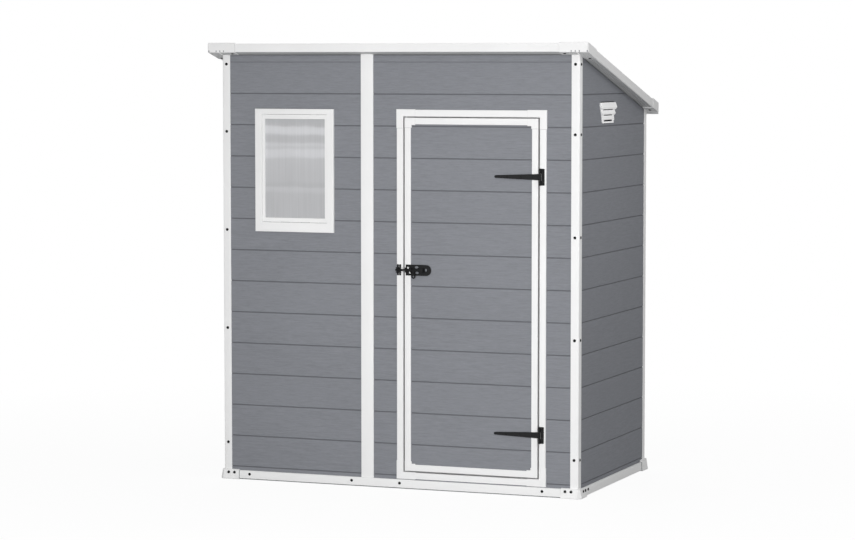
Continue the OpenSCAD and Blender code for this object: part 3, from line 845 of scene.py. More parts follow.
class SHED_OT_base(bpy.types.Operator):
    """Floor panel with its tread, skirting strips and corner feet"""

    bl_idname = "shed.base"
    bl_label = "Base"

    def execute(self, context):
        trim = context.scene.shed_trim
        make("floor_tread", tread(), "floor_resin", ["floor_panel"])
        for side in ("front", "back", "left", "right"):
            (a0, a1, b0, b1), back, face = face_of(f"skirt_{side}", side)
            start, end = {
                "left": (a0 + trim.strip_far, -FRONT - trim.strip_end),
                "right": (FRONT + trim.strip_end, a1 - trim.strip_far),
            }.get(side, (a0 + trim.strip_start, a1 - trim.strip_gap))
            strip = skirting(side, [start, end, b0, b1], back - 0.001, face, trim.soft)
            make(f"skirting_{side}", strip, "white_resin", [f"skirt_{side}"])
            # Painted shade: a block of the floor panel's grey fills each skirting's open joint nearly to the
            # face, so that the joint reads dark.
            joint = (end, a1) if side == "right" else (a0, start)
            filler = block(side, *joint, b0, b1, back, face - 0.0015, 0.0002)
            make(f"skirting_joint_{side}", filler, "floor_resin")
        for end, toward in ENDS:
            for hand, sign in HANDS:
                node = f"foot_{end}_{hand}"
                make(f"corner_{node}", foot(node, np.array([sign, toward])), "white_resin", [node])
        return {"FINISHED"}


class SHED_OT_roof_panel(bpy.types.Operator):
    """Grey roof panel with low ribs that run down the slope"""

    bl_idname = "shed.roof_panel"
    bl_label = "Roof panel"

    def execute(self, context):
        roof = context.scene.shed_roof
        ribs = (np.arange(11) - 5) * roof.rib_pitch
        foot_half, top_half = roof.rib_width / 2, roof.rib_width / 4
        grooves = HALF_W + np.array([0.010, 0.022, 0.034])
        groove_deep, groove_half, run_out = 0.0025, 0.0012, 0.012
        groove_marks = [-groove_half - 0.0006, -groove_half, groove_half, groove_half + 0.0006]
        x = stops(ROOF_LOW[0], ROOF_HIGH[0], ribs[:, None] + [-foot_half, -top_half, top_half, foot_half],
                  [way * (grooves[:, None] + groove_marks) for way in (-1, 1)])
        start, end = EAVE + CAP_T + FLANGE, BACK_EAVE - CAP_T - FLANGE
        y = stops(ROOF_LOW[1], ROOF_HIGH[1], [start, start + run_out, end - run_out, end])
        near = np.min(np.abs(x[:, None] - ribs), axis=1)
        rise = np.clip((foot_half - near) / (foot_half - top_half), 0, 1)
        run = np.clip(np.minimum(y - start, end - y) / run_out, 0, 1)
        top = cap_top(y) - (CAP_HIGH[2] - ROOF_HIGH[2] - FALL * (ROOF_LOW[1] - EAVE))
        relief = rise[None] * run[:, None] * roof.rib_height
        upper = facing("top", x[None], y[:, None], top[:, None] + relief)
        apart = np.min(np.abs(np.abs(x[:, None]) - grooves), axis=1)
        grooved = groove_deep * (apart < groove_half + 0.0002)
        lower = facing("top", x[None], y[:, None], soffit(y)[:, None] + grooved)
        make("roof_sheet", shell(upper, lower), "roof_resin", ["roof_panel"])
        return {"FINISHED"}


class SHED_OT_roof_edges(bpy.types.Operator):
    """White edge boards round the roof, each an upright web with a flange on the panel"""

    bl_idname = "shed.roof_edges"
    bl_label = "Roof edge boards"

    def execute(self, context):
        web, flange_t = 0.006, 0.004
        inwards = np.array([0, web, web, FLANGE, FLANGE, 0])
        down = np.array([EDGE_H, EDGE_H, flange_t, flange_t, 0, 0])
        radii = [0.001] * 5 + [context.scene.shed_trim.soft]
        x0, x1 = span("fascia_front")[:, 0]
        y0, y1 = EAVE + CAP_T, BACK_EAVE - CAP_T
        for end, y in (("front", y0 + inwards), ("back", y1 - inwards)):
            height = edge_top(y) - down
            if end == "back":
                height[:2] = span("fascia_back")[0][2]
            outline = rounded(np.column_stack([y, height]), radii)
            make(f"edge_board_{end}", drawn("right", outline, x0, x1), "white_resin", [f"fascia_{end}"])
        verge = rounded(np.column_stack([VERGE_HIGH[0] - inwards, down]), radii)
        ends = np.array([y0, y1])[:, None]
        for hand, sign in HANDS:
            sections = facing("top", sign * verge[:, 0], ends, edge_top(ends) - verge[:, 1])
            make(f"edge_board_{hand}", carry(sections), "white_resin", [f"verge_{hand}"])
        return {"FINISHED"}


def front_cap(sign):
    """Front corner cap: a thin C round the edge, carried along the front, mitred at the corner and carried
    back along the side. Depth from the edge is a share f of each leg's own depth; the corner's two stations
    draw apart by 2 mm * (1 - f) to round it. Small notches are left out of the front's lower edge."""
    deep_side, deep_front = ROOF_X - HALF_W, FRONT - EAVE
    ease, notch_half, notch_h, bend, inner_bend = 0.0016, 0.0022, 0.009, 0.04, 0.06
    share = np.array([1, bend, 0, 0, 0, bend, 1])
    down = np.array([CAP_DROP, CAP_DROP, CAP_DROP - ease, CAP_DROP - notch_h, ease, 0, 0])
    inner_share = np.array([1, inner_bend, 0, 0, 0, inner_bend, 1])
    inner_down = np.clip(down, CAP_T, CAP_DROP - CAP_T)
    notches = ROOF_X - np.array([0.079, 0.0605, 0.042, 0.0055])
    x = stops(CAP_LOW[0], ROOF_X - 0.003, notches - notch_half, notches + notch_half)

    def sheet_at(share, down, skin):
        dx, dy = np.maximum(share * deep_side, skin), np.maximum(share * deep_front, skin)
        bevel = 0.002 * (1 - share)
        edge_x, edge_y = ROOF_X - dx, EAVE + dy
        front = np.stack(np.broadcast_arrays(np.minimum(x[:-1, None], edge_x), edge_y), -1)
        turn = [np.column_stack([edge_x - bevel, edge_y]), np.column_stack([edge_x, edge_y + bevel])]
        side = np.column_stack([edge_x, np.full_like(dx, CAP_HIGH[1])])
        plan = np.concatenate([front, [*turn, side]])
        return facing("top", sign * plan[..., 0], plan[..., 1], cap_top(plan[..., 1]) - down)

    outer, inner = sheet_at(share, down, 0.0), sheet_at(inner_share, inner_down, CAP_T)
    keep = np.ones((outer.shape[0] - 1, outer.shape[1] - 1), bool)
    middle = (x[1:-1] + x[:-2]) / 2
    notched = np.min(np.abs(middle[:, None] - notches), axis=1) < notch_half - 0.0002
    keep[: len(notched)][notched, 1:3] = False
    low = cap_top(EAVE) - CAP_DROP
    # Painted shade: grey blocks set in the notches make them read dark.
    notch_shade = block("front", -0.003, 0.003, low + 0.001, low + 0.010, -EAVE - CAP_T, -EAVE - 0.0008, 0.0004)
    return shell(outer, inner, keep), notch_shade.copies(facing("front", sign * notches, 0.0, 0.0))


def cap_painted_shade(sign):
    """Painted shade under and on the caps: grey slats under both caps that darken their undersides, each
    straight down the roof's fall, a grey joint line where the front cap ends on the front edge board, and a
    grey face on the rear cap's lip."""
    pitch, wide, thick, margin = 0.0062, 0.0044, 0.0006, 0.003
    fields = [(EAVE + margin, CAP_HIGH[1] - 0.001, HALF_W, ROOF_X),
              (EAVE + margin, FRONT - 0.001, CAP_LOW[0], HALF_W),
              (BACK_CAP_LOW[1] + margin, BACK - margin, HALF_W, ROOF_X)]
    under = rectangle(0, wide, 0, thick)
    made = []
    for near, far, first, last in fields:
        y = np.array([near, far])[:, None]
        height = cap_top(y) - CAP_DROP + 0.0002 - under[:, 1]
        for x in np.arange(first + margin, last - wide, pitch):
            made.append(carry(facing("top", sign * (x + under[:, 0]), y, height)))
    lip = sorted([sign * HALF_W, sign * (ROOF_X - 0.001)])
    made.append(block("front", *lip, BACK_CAP_LOW[2] + 0.001, soffit(LIP_Y) - 0.001, -LIP_Y - 0.001,
                      -LIP_Y + 0.0004, 0.0002))
    web = EAVE + CAP_T
    line = sorted([sign * (CAP_LOW[0] - 0.0012), sign * (CAP_LOW[0] + 0.001)])
    made.append(block("front", *line, edge_top(web) - EDGE_H + 0.001, edge_top(web) - 0.003, -web - 0.001,
                      -web + 0.0002, 0.0001))
    return joined(*made)


def back_cap(sign):
    """Back corner cap: a side web with the whole outline, skins over and under the side's edge, and a trough
    section along the back with a lip that faces the front."""
    near, low = BACK_CAP_LOW[1], BACK_CAP_LOW[2]
    outline = rounded([
        [near, cap_top(near) - CAP_DROP], [LIP_Y, cap_top(LIP_Y) - CAP_DROP], [LIP_Y, low],
        [BACK_EAVE, low], [BACK_EAVE, cap_top(BACK_EAVE)], [near, cap_top(near)]], 0.0015)
    middle = outline.mean(0)
    rings = np.stack([outline, outline, middle + (outline - middle) * 0.985])
    web_x = np.array([ROOF_X - CAP_T, ROOF_X - 0.0008, ROOF_X])[:, None]
    web = carry(facing("top", sign * web_x, rings[..., 0], rings[..., 1]))
    under, over = BACK - 0.002, BACK - 0.034
    x = np.array([HALF_W, ROOF_X - CAP_T / 2])
    skins = []
    for end, pair in ((over, (0.0, CAP_T)), (under, (CAP_DROP - CAP_T, CAP_DROP))):
        y = np.array([near, end])[:, None]
        skins.append(shell(*(facing("top", sign * x, y, cap_top(y) - depth) for depth in pair)))
    y_in, y_out = LIP_Y + CAP_T, BACK_EAVE - CAP_T
    outer = np.array([
        [under, soffit(under) - CAP_T], [LIP_Y, soffit(LIP_Y) - CAP_T], [LIP_Y, low],
        [BACK_EAVE, low], [BACK_EAVE, cap_top(BACK_EAVE)], [over, cap_top(over)]])
    inner = np.array([
        [under, soffit(under)], [y_in, soffit(y_in)], [y_in, low + CAP_T],
        [y_out, low + CAP_T], [y_out, cap_top(y_out) - CAP_T], [over, cap_top(over) - CAP_T]])
    along = np.array([BACK_CAP_LOW[0], ROOF_X - CAP_T / 2])[:, None]
    trough = shell(*(facing("top", sign * along, line[:, 0], line[:, 1]) for line in (outer, inner)))
    return joined(web, *skins, trough)


class SHED_OT_roof_caps(bpy.types.Operator):
    """White caps over the roof's four corners"""

    bl_idname = "shed.roof_caps"
    bl_label = "Roof corner caps"

    def execute(self, context):
        for hand, sign in HANDS:
            cap, notch_shades = front_cap(sign)
            make(f"corner_cap_front_{hand}", cap, "white_resin", [f"roof_cap_front_{hand}"])
            # Grey blocks of painted shade in the cap's notches.
            make(f"corner_cap_notch_shades_{hand}", notch_shades, "grey_resin")
            # Grey slats, lines and faces of painted shade under and on the caps.
            make(f"corner_cap_painted_shade_{hand}", cap_painted_shade(sign), "roof_resin")
            make(f"corner_cap_back_{hand}", back_cap(sign), "white_resin", [f"roof_cap_back_{hand}"])
        return {"FINISHED"}


class SHED_OT_window(bpy.types.Operator):
    """Window trim with its sleeve through the wall, the sash set back in it, and the ribbed sheet"""

    bl_idname = "shed.window"
    bl_label = "Window"

    def execute(self, context):
        trim = context.scene.shed_trim
        outer, wall_back, face = face_of("window_frame", "front")
        opening, sash_back, sash_face = face_of("window_sash", "front")
        clear, pane_back, pane_face = face_of("window_pane", "front")
        _, _, boards_face = face_of("front_wall_window", "front")
        wide = opening[0] - outer[0]
        neck = wide - SLEEVE
        profile = rounded(
            [[0, boards_face], [0, face], [wide, face],
             [wide, wall_back], [neck, wall_back], [neck, boards_face]],
            [CRISP, trim.soft, trim.soft, 0.001, CRISP, CRISP])
        casing = framed("front", [outer, grown(opening, SLEEVE), opening], [0, neck, wide], profile)
        make("window_trim", casing, "white_resin", ["window_frame"])
        side, ease = clear[0] - opening[0], 0.0006
        profile = rounded(rectangle(ease, side, sash_back, sash_face), 0.0016)
        make("window_sash_bars", framed("front", [opening, clear], [0, side], profile), "white_resin",
             ["window_sash"])
        slot_half = (opening[1] - opening[0]) / 14
        slots = np.array([-0.641, -0.5465, -0.448, -0.356])
        # Painted shade: grey strips on the sash's foot where the weep slots open.
        slot_shade = block("front", -slot_half, slot_half, -0.0014, 0.0014, 0, 0.0012, 0.0003)
        slot_shades = slot_shade.copies(facing("front", slots, opening[2] + 0.0006, sash_face - 0.0009))
        make("window_weep_slots", slot_shades, "roof_resin")
        count = round((clear[1] - clear[0]) / trim.rib_pitch) * 6
        hidden = 0.001
        x = np.linspace(clear[0] - hidden, clear[1] + hidden, count + 1)
        dip = trim.rib_height * (1 - np.cos((x - clear[0]) * 2 * np.pi / trim.rib_pitch) ** 8)
        up = np.array([clear[2] - hidden, clear[3] + hidden])
        webbed = sheet("front", x, up, pane_face - dip, pane_back + dip)
        make("window_sheet", webbed, "pane_sheet", ["window_pane"])
        return {"FINISHED"}


class SHED_OT_vent(bpy.types.Operator):
    """White vent in the right-hand wall with three hooded slots"""

    bl_idname = "shed.vent"
    bl_label = "Vent"

    def execute(self, context):
        (a0, a1, b0, b1), back, face = face_of("side_vent", "right")
        slot_half = np.array([0.0038, 0.0022, 0.0022])
        centre = b0 + 0.011 + 0.0245 * np.arange(3)
        edges = centre[:, None] + slot_half[:, None] * [-1, 1]
        # Rows of the grid from the foot up: the slots' edges, and the hoods over the two upper slots
        hoods = edges[1:, 1] + [0.005, 0.008]
        up = np.concatenate([[b0], edges[0], edges[1], hoods[:1], edges[2], hoods[1:], [b1]])
        deep = face - back
        out = back + np.array([0.006, 0.003, 0.006, 0.003, deep - 0.004,
                               deep - 0.002, 0.003, deep - 0.003, deep, 0.005])
        narrowing = np.array([0.036, 0.033, 0.030, 0.026, 0.023, 0.019, 0.015, 0.010, 0.004, 0.0045])
        half = ((a1 - a0) / 2 - narrowing)[:, None]
        share = np.array([-1, -0.985, -0.77, 0.77, 0.985, 1])
        ease = np.array([0.0015, 0, 0, 0, 0, 0.0015])
        across = (a0 + a1) / 2 + half * share
        outer = facing("right", across, up[:, None], out[:, None] - ease)
        inner = facing("right", across, up[:, None], back - 0.0005)
        keep = np.ones((len(up) - 1, len(share) - 1), bool)
        keep[[1, 3, 6], 2] = False
        # The vent's white is made brighter as painted light.
        make("vent_louvres", shell(outer, inner, keep), "white_resin", ["side_vent"], kind="vent_painted_light")
        return {"FINISHED"}


def corner_pieces(side, place, trim, width, low, face, outer, inner, shorter=0.0):
    """Four L-shaped pieces over a frame's corners, and grey lines of painted shade at the joints at the ends
    of the upper two. The pieces stand past the members by outer and inner at their two edges. shorter is cut
    off their legs."""
    a0, a1, b0, b1 = place
    profile = rounded(rectangle(-outer, width + inner, low, face + trim.corner_proud), trim.soft)
    level, upright = trim.frame_leg - shorter, trim.frame_leg - 0.006 - shorter
    level_gap, upright_gap = 0.0005, 0.0013
    corners = [((a0, b0), (1, 1)), ((a1, b0), (-1, 1)), ((a1, b1), (-1, -1)), ((a0, b1), (1, -1))]
    made = [elbow(side, corner, inward, (level, upright), profile) for corner, inward in corners]
    lines = []
    for (a, b), (right, up) in corners[2:]:
        for reach, rise in (((a + right * level, a + right * (level + level_gap)), (b, b + up * width)),
                            ((a, a + right * width), (b + up * upright, b + up * (upright + upright_gap)))):
            lines.append(block(side, *sorted(reach), *sorted(rise), face - 0.001, face + 0.0001, 0.00005))
    return joined(*made), joined(*lines)


class SHED_OT_door_frame(bpy.types.Operator):
    """White door frame with its shutting lip and its corner pieces"""

    bl_idname = "shed.door_frame"
    bl_label = "Door frame"

    def execute(self, context):
        trim = context.scene.shed_trim
        latch, back, face = face_of("door_jamb_latch", "front")
        hinge, _, _ = face_of("door_jamb_hinge", "front")
        head, _, _ = face_of("door_head", "front")
        sill, _, _ = face_of("door_sill", "front")
        leaf, leaf_back, _ = face_of("door_border", "front")
        width, lip = head[0] - latch[0], latch[1] - latch[0]
        sill_top = leaf[2] - (leaf[0] - head[0])
        outer = [latch[0], hinge[1], latch[2] + trim.sill_gap, latch[3]]
        opening = [head[0], head[1], sill_top, head[3] - width]
        stop = [latch[1], hinge[0], sill[3], head[2]]
        stop_face = leaf_back - 0.006
        profile = rounded(
            [[0, back], [0, face], [width, face], [width, stop_face], [lip, stop_face], [lip, back]],
            [CRISP, trim.soft, trim.soft, 0.0008, 0.001, 0.001])
        nodes = ["door_jamb_latch", "door_jamb_hinge", "door_head", "door_sill"]
        frame_bars = framed("front", [outer, opening, stop], [0, width, lip], profile)
        make("door_frame_bars", frame_bars, "white_resin", nodes)
        # Painted shade: a grey block fills the open joint between the frame's foot and the skirting, so that
        # the joint reads dark.
        joint_shade_block = block("front", outer[0], outer[1], sill[2], outer[2] + 0.002, back, -FRONT, CRISP)
        make("door_sill_joint_shade_block", joint_shade_block, "grey_resin")
        # Painted shade: a pale grey sheet on the shutting lip's face, behind the door's gap, makes the gap
        # read dark.
        bed, skin, gap_shade_low, gap_shade_high = 0.0005, 0.0006, stop_face - 0.0005, stop_face + 0.0008
        gap_shade_front = face - 0.004
        profile = [[-bed, gap_shade_low], [-bed, gap_shade_front], [skin, gap_shade_front],
                   [skin, gap_shade_high], [lip - width, gap_shade_high], [lip - width, gap_shade_low]]
        gap_shade = framed("front", [opening, stop], [0, lip - width], profile)
        make("door_gap_shade", gap_shade, "white_resin", kind="gap_shade_resin")
        low, past, within = stop_face - 0.001, 0.002, 0.0005
        corners, joints = corner_pieces("front", outer, trim, width, low, face, past, within)
        make("door_frame_corners", corners, "white_resin")
        # The joint lines are grey strips of painted shade.
        make("door_frame_joints", joints, "roof_resin")
        return {"FINISHED"}


class SHED_OT_door_leaf(bpy.types.Operator):
    """Door leaf: a boarded panel in a white border with corner pieces"""

    bl_idname = "shed.door_leaf"
    bl_label = "Door leaf"

    def execute(self, context):
        trim = context.scene.shed_trim
        leaf, back, face = face_of("door_border", "front")
        panel, panel_back, panel_face = face_of("door_panel", "front")
        boards = boarded("front", panel, panel_back, panel_face)
        make("door_boards", boards, "grey_resin", ["door_panel"], "door")
        width = panel[0] - leaf[0]
        profile = rounded(rectangle(0, width, back, face), trim.soft)
        border = framed("front", [leaf, panel], [0, width], profile)
        make("door_border_bars", border, "white_resin", ["door_border"], "door")
        inset = leaf[0] - face_of("door_jamb_latch", "front")[0][0]
        low, past, within = back - trim.corner_proud / 2, 0.0005, 0.0035
        corners, joints = corner_pieces("front", leaf, trim, width, low, face, past, within, inset)
        make("door_border_corners", corners, "white_resin", (), "door")
        # The joint lines are grey strips of painted shade.
        make("door_border_joints", joints, "roof_resin", (), "door")
        return {"FINISHED"}


def screw_head(side, places, radius, height, count):
    """Domed head with a cross recess: height * sqrt(1 - 0.8 t^2) at the share t of the radius, less a dip
    where the point lies near one of the cross's two arms."""
    share = np.array([1.0, 1.0, 0.9, 0.76, 0.6, 0.5, 0.32, 0.16])[:, None]
    a, b = share * arc((0, 0), 1, bearings(count)).T[:, None]
    arm = np.minimum(np.abs(a), np.abs(b))
    dip = 0.55 * np.exp(-((arm / 0.13) ** 4)) * (share < 0.55)
    out = height * (np.sqrt(1 - 0.8 * share**2) - dip)
    out[0] = -0.001
    head = carry(facing(side, a * radius, b * radius, out))
    return head.copies(facing(side, *np.asarray(places, float).T))


class SHED_OT_hinges(bpy.types.Operator):
    """Black strap hinges: T plates with knuckles and pin on the frame, tapering straps on the leaf"""

    bl_idname = "shed.hinges"
    bl_label = "Hinges"

    def execute(self, context):
        plate_low, plate_high = span("hinge_plates", "front")
        strap_low, strap_high = span("hinge_straps", "front")
        leaf, _, leaf_face = face_of("door_border", "front")
        knuckle, pin, ease, thick, gap, lift = 0.005, 0.0025, 0.001, 0.003, 0.0015, 0.0005
        strap_half, plate_half, tip_half = 0.014, 0.037, 0.006
        screw_r, screw_h = 0.0042, 0.0018
        x, y = plate_low[0] + knuckle, knuckle - plate_high[2]
        heights = [strap_low[1] + strap_half, strap_high[1] - strap_half]
        tip = strap_low[0] + tip_half - x
        round_end = arc((tip, 0), tip_half, np.linspace(np.pi / 2, 3 * np.pi / 2, 13))

        def strap(start):
            near = strap_half + (tip_half - strap_half) * start / tip
            return np.concatenate([[[start, -near], [start, near]], round_end])

        wing = rectangle(0.0055, plate_high[0] - x, -plate_half, plate_half)
        wing = rounded(wing, [0.001, 0.004, 0.004, 0.001])
        plate_face, strap_face = leaf_face + thick, leaf_face + lift + thick
        on_frame, on_leaf = [], []
        for z in heights:
            at = np.array([x, z])
            on_frame += [plate("front", wing + at, leaf_face - 0.0005, plate_face, 0.0008),
                         rod("top", (x, y), pin, z - plate_half - ease, z + plate_half + ease, ease, 16)]
            for way in (-1, 1):
                ends = sorted([z + way * (strap_half + gap), z + way * plate_half])
                on_frame += [rod("top", (x, y), knuckle, *ends, ease, 20),
                             block("front", x, x + 0.006, *ends, leaf_face - 0.0004, plate_face, 0.0006)]
            bored = rectangle(pin + 0.0004, knuckle, z - strap_half, z + strap_half)
            under = strap(leaf[1] - x) + at
            on_leaf += [plate("front", strap(0.0) + at, leaf_face + lift, strap_face, 0.0008),
                        plate("front", under, leaf_face - 0.0003, leaf_face + lift + 0.001, 0.0005),
                        turned("top", (x, y), bored, 20, ring=True)]
        for made, spots, out in (
            (on_frame, [(0.0145, -0.026), (0.0145, 0.0), (0.0145, 0.026)], plate_face),
            (on_leaf, [(-0.034, 0.0), (-0.09, 0.0), (-0.155, 0.0)], strap_face),
        ):
            places = [[x + a, z + b, out] for z in heights for a, b in spots]
            made.append(screw_head("front", places, screw_r, screw_h, context.scene.shed_fixings.per_side))
        make("hinge_t_plates", joined(*on_frame), "black_steel", ["hinge_plates"])
        make("hinge_strap_leaves", joined(*on_leaf), "black_steel", ["hinge_straps"], "door")
        return {"FINISHED"}


class SHED_OT_bolt(bpy.types.Operator):
    """Black slide bolt: pierced back plate with guides, rod with its ring, and the keeper on the frame"""

    bl_idname = "shed.bolt"
    bl_label = "Bolt"

    def execute(self, context):
        place, leaf_face, front = face_of("bolt_plate", "front")
        slide, rod_back, rod_front = face_of("bolt_rod", "front")
        mid = (place[2] + place[3]) / 2
        rod_out, rod_r = (rod_back + rod_front) / 2, 0.0045
        low, high = leaf_face - 0.0004, leaf_face + 0.0018
        parts = self.back_plate(place, mid, low, high)
        for x, deep in ((0.0015, 0.004), (0.026, 0.0045), (0.0775, 0.010)):
            hoop = rectangle(-high, -front, mid + 0.011, mid - 0.011)
            hoop = rounded(hoop, [CRISP, 0.006, 0.006, CRISP], 5)
            parts.append(pierced("right", divided(hoop, 2), np.array([-rod_out, mid]), rod_r + 0.0003,
                                 place[0] + x, place[0] + x + deep))
        make("bolt_back_plate", joined(*parts), "black_steel", ["bolt_plate"], "door")
        ring_x, ring_z, ring_r, wire = place[0] + 0.0405, slide[2] + 0.010, 0.007, 0.003
        moving = [
            rod("right", (-rod_out, mid), rod_r, slide[0], slide[1], 0.0015, 20),
            turned("top", (ring_x, -rod_out), [[wire, ring_z + ring_r - 0.0005], [wire, mid]], 14),
            turned("front", (ring_x, ring_z), arc((ring_r, rod_out), wire, bearings(10)), 28, ring=True),
        ]
        make("bolt_sliding_rod", joined(*moving), "black_steel", ["bolt_rod"], "bolt")
        (a0, a1, b0, b1), _, _ = face_of("bolt_keeper", "front")
        middle, gap = (a0 + a1) / 2, 0.0009
        fixed = [plate("front", rounded(rectangle(*ends, b0, b1), 0.0035, 4), low, high, 0.0006)
                 for ends in ((a0, middle - gap), (middle + gap, a1))]
        for ends in ((mid - 0.012, mid - 0.007), (mid + 0.007, mid + 0.012)):
            fixed.append(block("front", a0, a1, *ends, low, front, SOFTENED))
        boss = [[0.0085, low], [0.0085, high + 0.001], [0.0065, high + 0.003]]
        fixed.append(turned("front", (a0 + 0.004, mid), boss, 28))
        make("bolt_keeper_lobes", joined(*fixed), "black_steel", ["bolt_keeper"])
        return {"FINISHED"}

    @staticmethod
    def back_plate(place, mid, low, high):
        """Back plate in rectangular tiles, most with one oval hole, and its round end with a raised eye."""
        x0, x1, z0, z1 = place
        half = (z1 - z0) / 2
        split = x1 - half - 0.012
        # Left end, right end, whether it lies above the middle, its hole's middle, half width and half height
        tiles = [
            (0.0, 0.026, True, (0.0108, 0.0105), (0.0048, 0.0048)),
            (0.0, 0.034, False, (0.0205, -0.011), (0.0048, 0.0048)),
            (0.026, 0.038, True, None, None),
            (0.038, 0.064, True, (0.052, 0.0133), (0.0088, 0.0056)),
            (0.034, 0.041, False, None, None),
            (0.041, 0.066, False, (0.0545, -0.0115), (0.0078, 0.0056)),
            (0.064, split - x0, True, None, None),
            (0.066, split - x0, False, None, None),
        ]
        made = []
        for start, end, above, hole, size in tiles:
            outline = rectangle(x0 + start, x0 + end, mid if above else z0, z1 if above else mid)
            if hole is None:
                made.append(drawn("front", outline, low, high))
            else:
                centre = np.array([x0 + hole[0], mid + hole[1]])
                made.append(pierced("front", divided(outline, 8), centre, size, low, high))
        round_end = arc((x1 - half, mid), half, np.linspace(-np.pi / 2, np.pi / 2, 25))
        straight = np.column_stack([np.full(13, split), np.linspace(z1, z0, 13)])
        eye, eye_size = np.array([x1 - 0.0245, mid + 0.0015]), (0.0052, 0.0068)
        outline = np.concatenate([round_end, straight])
        return [*made, pierced("front", outline, eye, eye_size, low, high, 0.0016)]


class SHED_OT_screws(bpy.types.Operator):
    """Black screws in the posts, the skirting, the feet and under the roof's caps"""

    bl_idname = "shed.screws"
    bl_label = "Screws"

    def execute(self, context):
        fixings = context.scene.shed_fixings
        made = []

        def on(side, a, b, out, share=1.0):
            places = np.column_stack(np.broadcast_arrays(np.ravel(a), np.ravel(b), np.ravel(out)))
            made.append(screw_head(side, places, fixings.head / 2 * share, fixings.dome, fixings.per_side))

        up = np.array([0.170, 0.699, 1.151, 1.601, 1.908])
        inset = 0.020
        for way in (-1, 1):
            on("front", way * (HALF_W - inset), up, -FRONT)
            on("back", way * (HALF_W - inset), up[:4], BACK)
        for side, way in HANDS:
            on(side, way * (FRONT + inset), up, HALF_W)
        # How far the heads' seats stand out on a skirting strip, on a foot's long leg and on its short one
        strip_out, long_out, short_out = 0.0108, 0.0105, 0.0118
        for side, plane, way in (("front", -FRONT, 1), ("back", BACK, -1)):
            on(side, np.array([-0.728, -0.218, 0.016, 0.695]) * way, 0.026, plane + strip_out)
            on(side, np.array([-0.834, -0.805, 0.802, 0.830]), 0.031, plane + long_out)
        for side, way in HANDS:
            on(side, way * np.array([-0.446, -0.417, -0.379]), 0.030, HALF_W + short_out, 0.95)
        x, y = np.array([[0.798, -0.505], [0.888, -0.428], [0.884, 0.484]]).T
        for way in (-1, 1):
            on("under", way * x, -y, CAP_DROP - cap_top(y))
        make("screws", joined(*made), "black_steel")
        return {"FINISHED"}


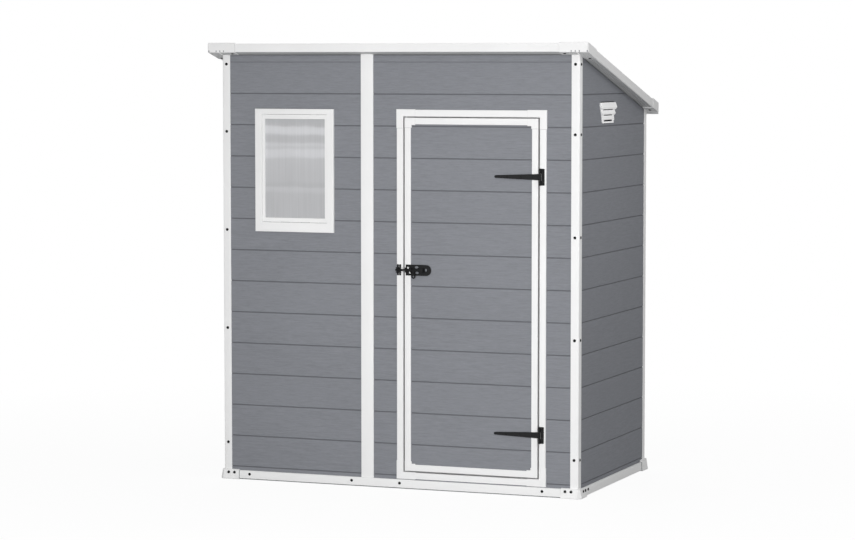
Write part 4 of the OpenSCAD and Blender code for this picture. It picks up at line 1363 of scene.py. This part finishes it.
class SHED_OT_stage(bpy.types.Operator):
    """Pale floor, soft studio light, white surroundings and the camera"""

    bl_idname = "shed.stage"
    bl_label = "Stage"

    def execute(self, context):
        stage = context.scene.shed_stage
        self.floor()
        self.surroundings(stage.ambient)
        self.lamp("high_light", stage.high, (1.1, -3.6, 3.3), 2.0)
        self.lamp("low_light", stage.low, (0.7, -4.5, 0.9), 2.0)
        self.lamp("side_light", stage.side, (3.0, -1.0, 2.6), 1.5)
        self.lamp("back_light", stage.behind, (-1.2, 3.6, 2.4), 2.0)
        camera = bpy.data.cameras.new("camera")
        camera.lens, camera.sensor_width, camera.clip_end = stage.lens, 36.0, 100.0
        eye = bpy.data.objects.new("camera", camera)
        eye.location = (4.747, -12.171, 1.927)
        turn, tilt = stage.turn, stage.tilt
        look = Vector((-math.sin(turn) * math.cos(tilt), math.cos(turn) * math.cos(tilt), -math.sin(tilt)))
        eye.rotation_euler = look.to_track_quat("-Z", "Y").to_euler()
        context.scene.collection.objects.link(eye)
        context.scene.camera = eye
        context.scene.view_settings.view_transform = "Standard"
        return {"FINISHED"}

    def floor(self):
        """Wide pale floor just under the shed, which glows white for the camera and takes soft shadows."""
        reach, level = 30.0, -0.0004
        corners = rectangle(-reach, reach, -reach, reach)
        mesh = bpy.data.meshes.new("studio_floor")
        mesh.from_pydata(facing("top", corners[:, 0], corners[:, 1], level).tolist(), [], [[0, 1, 2, 3]])
        floor = bpy.data.objects.new("studio_floor", mesh)
        bpy.context.scene.collection.objects.link(floor)
        material = bpy.data.materials.new("studio_floor")
        finish = Finish(material)
        seen = self.seen(finish)
        pale = finish.blend(seen, (0.62, 0.62, 0.62), (1.0, 1.0, 1.0))
        diffuse = finish.add("ShaderNodeBsdfDiffuse", {}, {"Color": pale})
        glow = finish.add("ShaderNodeEmission", {}, {"Color": (1, 1, 1, 1), "Strength": 1.0})
        x, y, _ = finish.place()
        far = (x * x + y * y).between(1.5, 16.0)
        mixed = finish.add("ShaderNodeMixShader", {}, {0: seen * (far * 0.07 + 0.93), 1: diffuse, 2: glow})
        finish.add("ShaderNodeOutputMaterial", {}, {"Surface": mixed})
        mesh.materials.append(material)

    def surroundings(self, ambient):
        """World that looks white and lights the shed evenly."""
        world = bpy.data.worlds.new("studio")
        bpy.context.scene.world = world
        finish = Finish(world)
        even, white = (
            finish.add("ShaderNodeBackground", {}, {"Color": (1, 1, 1, 1), "Strength": strength})
            for strength in (ambient, 1.0))
        mixed = finish.add("ShaderNodeMixShader", {}, {0: self.seen(finish), 1: even, 2: white})
        finish.add("ShaderNodeOutputWorld", {}, {"Surface": mixed})

    @staticmethod
    def seen(finish):
        """1 for rays from the camera, from a glossy surface or through a clear one, otherwise 0."""
        names = [f"Is {kind} Ray" for kind in ("Camera", "Glossy", "Transmission")]
        camera, glossy, clear = finish.outputs("ShaderNodeLightPath", {}, names)
        return camera.high_of(glossy).high_of(clear)

    @staticmethod
    def lamp(name, watts, place, size):
        """Square lamp that looks at the shed's middle."""
        light = bpy.data.lights.new(name, "AREA")
        light.energy, light.size = watts, size
        lamp = bpy.data.objects.new(name, light)
        lamp.location = place
        lamp.rotation_euler = (Vector((0, 0, 1.0)) - Vector(place)).to_track_quat("-Z", "Y").to_euler()
        bpy.context.scene.collection.objects.link(lamp)


OPERATORS = (
    SHED_OT_stage, SHED_OT_boards, SHED_OT_posts, SHED_OT_base, SHED_OT_roof_panel, SHED_OT_roof_edges,
    SHED_OT_roof_caps, SHED_OT_window, SHED_OT_vent, SHED_OT_door_frame, SHED_OT_door_leaf, SHED_OT_hinges,
    SHED_OT_bolt, SHED_OT_screws,
)
SETTINGS = {
    "shed_boards": ShedBoards, "shed_trim": ShedTrim, "shed_roof": ShedRoof, "shed_fixings": ShedFixings,
    "shed_colours": ShedColours, "shed_stage": ShedStage,
}


class SHED_PT_sidebar(bpy.types.Panel):
    """The shed's settings, and one button for each group of pieces"""

    bl_idname = "SHED_PT_sidebar"
    bl_label = "Shed"
    bl_space_type = "VIEW_3D"
    bl_region_type = "UI"
    bl_category = "Shed"

    def draw(self, context):
        for name, group in SETTINGS.items():
            box = self.layout.box()
            for size in group.__annotations__:
                box.prop(getattr(context.scene, name), size)
        for operator in OPERATORS:
            self.layout.operator(operator.bl_idname)


CLASSES = (*SETTINGS.values(), *OPERATORS, SHED_PT_sidebar)


def register():
    """Adds the classes and hangs each group of settings on the scene."""
    for made in CLASSES:
        bpy.utils.register_class(made)
    for name, group in SETTINGS.items():
        setattr(bpy.types.Scene, name, PointerProperty(type=group))


def unregister():
    """Takes the settings and the classes away again."""
    for name in SETTINGS:
        delattr(bpy.types.Scene, name)
    for made in reversed(CLASSES):
        bpy.utils.unregister_class(made)


def main():
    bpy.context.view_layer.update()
    register()
    for operator in OPERATORS:
        group, name = operator.bl_idname.split(".")
        getattr(getattr(bpy.ops, group), name)()


if __name__ == "__main__":
    main()
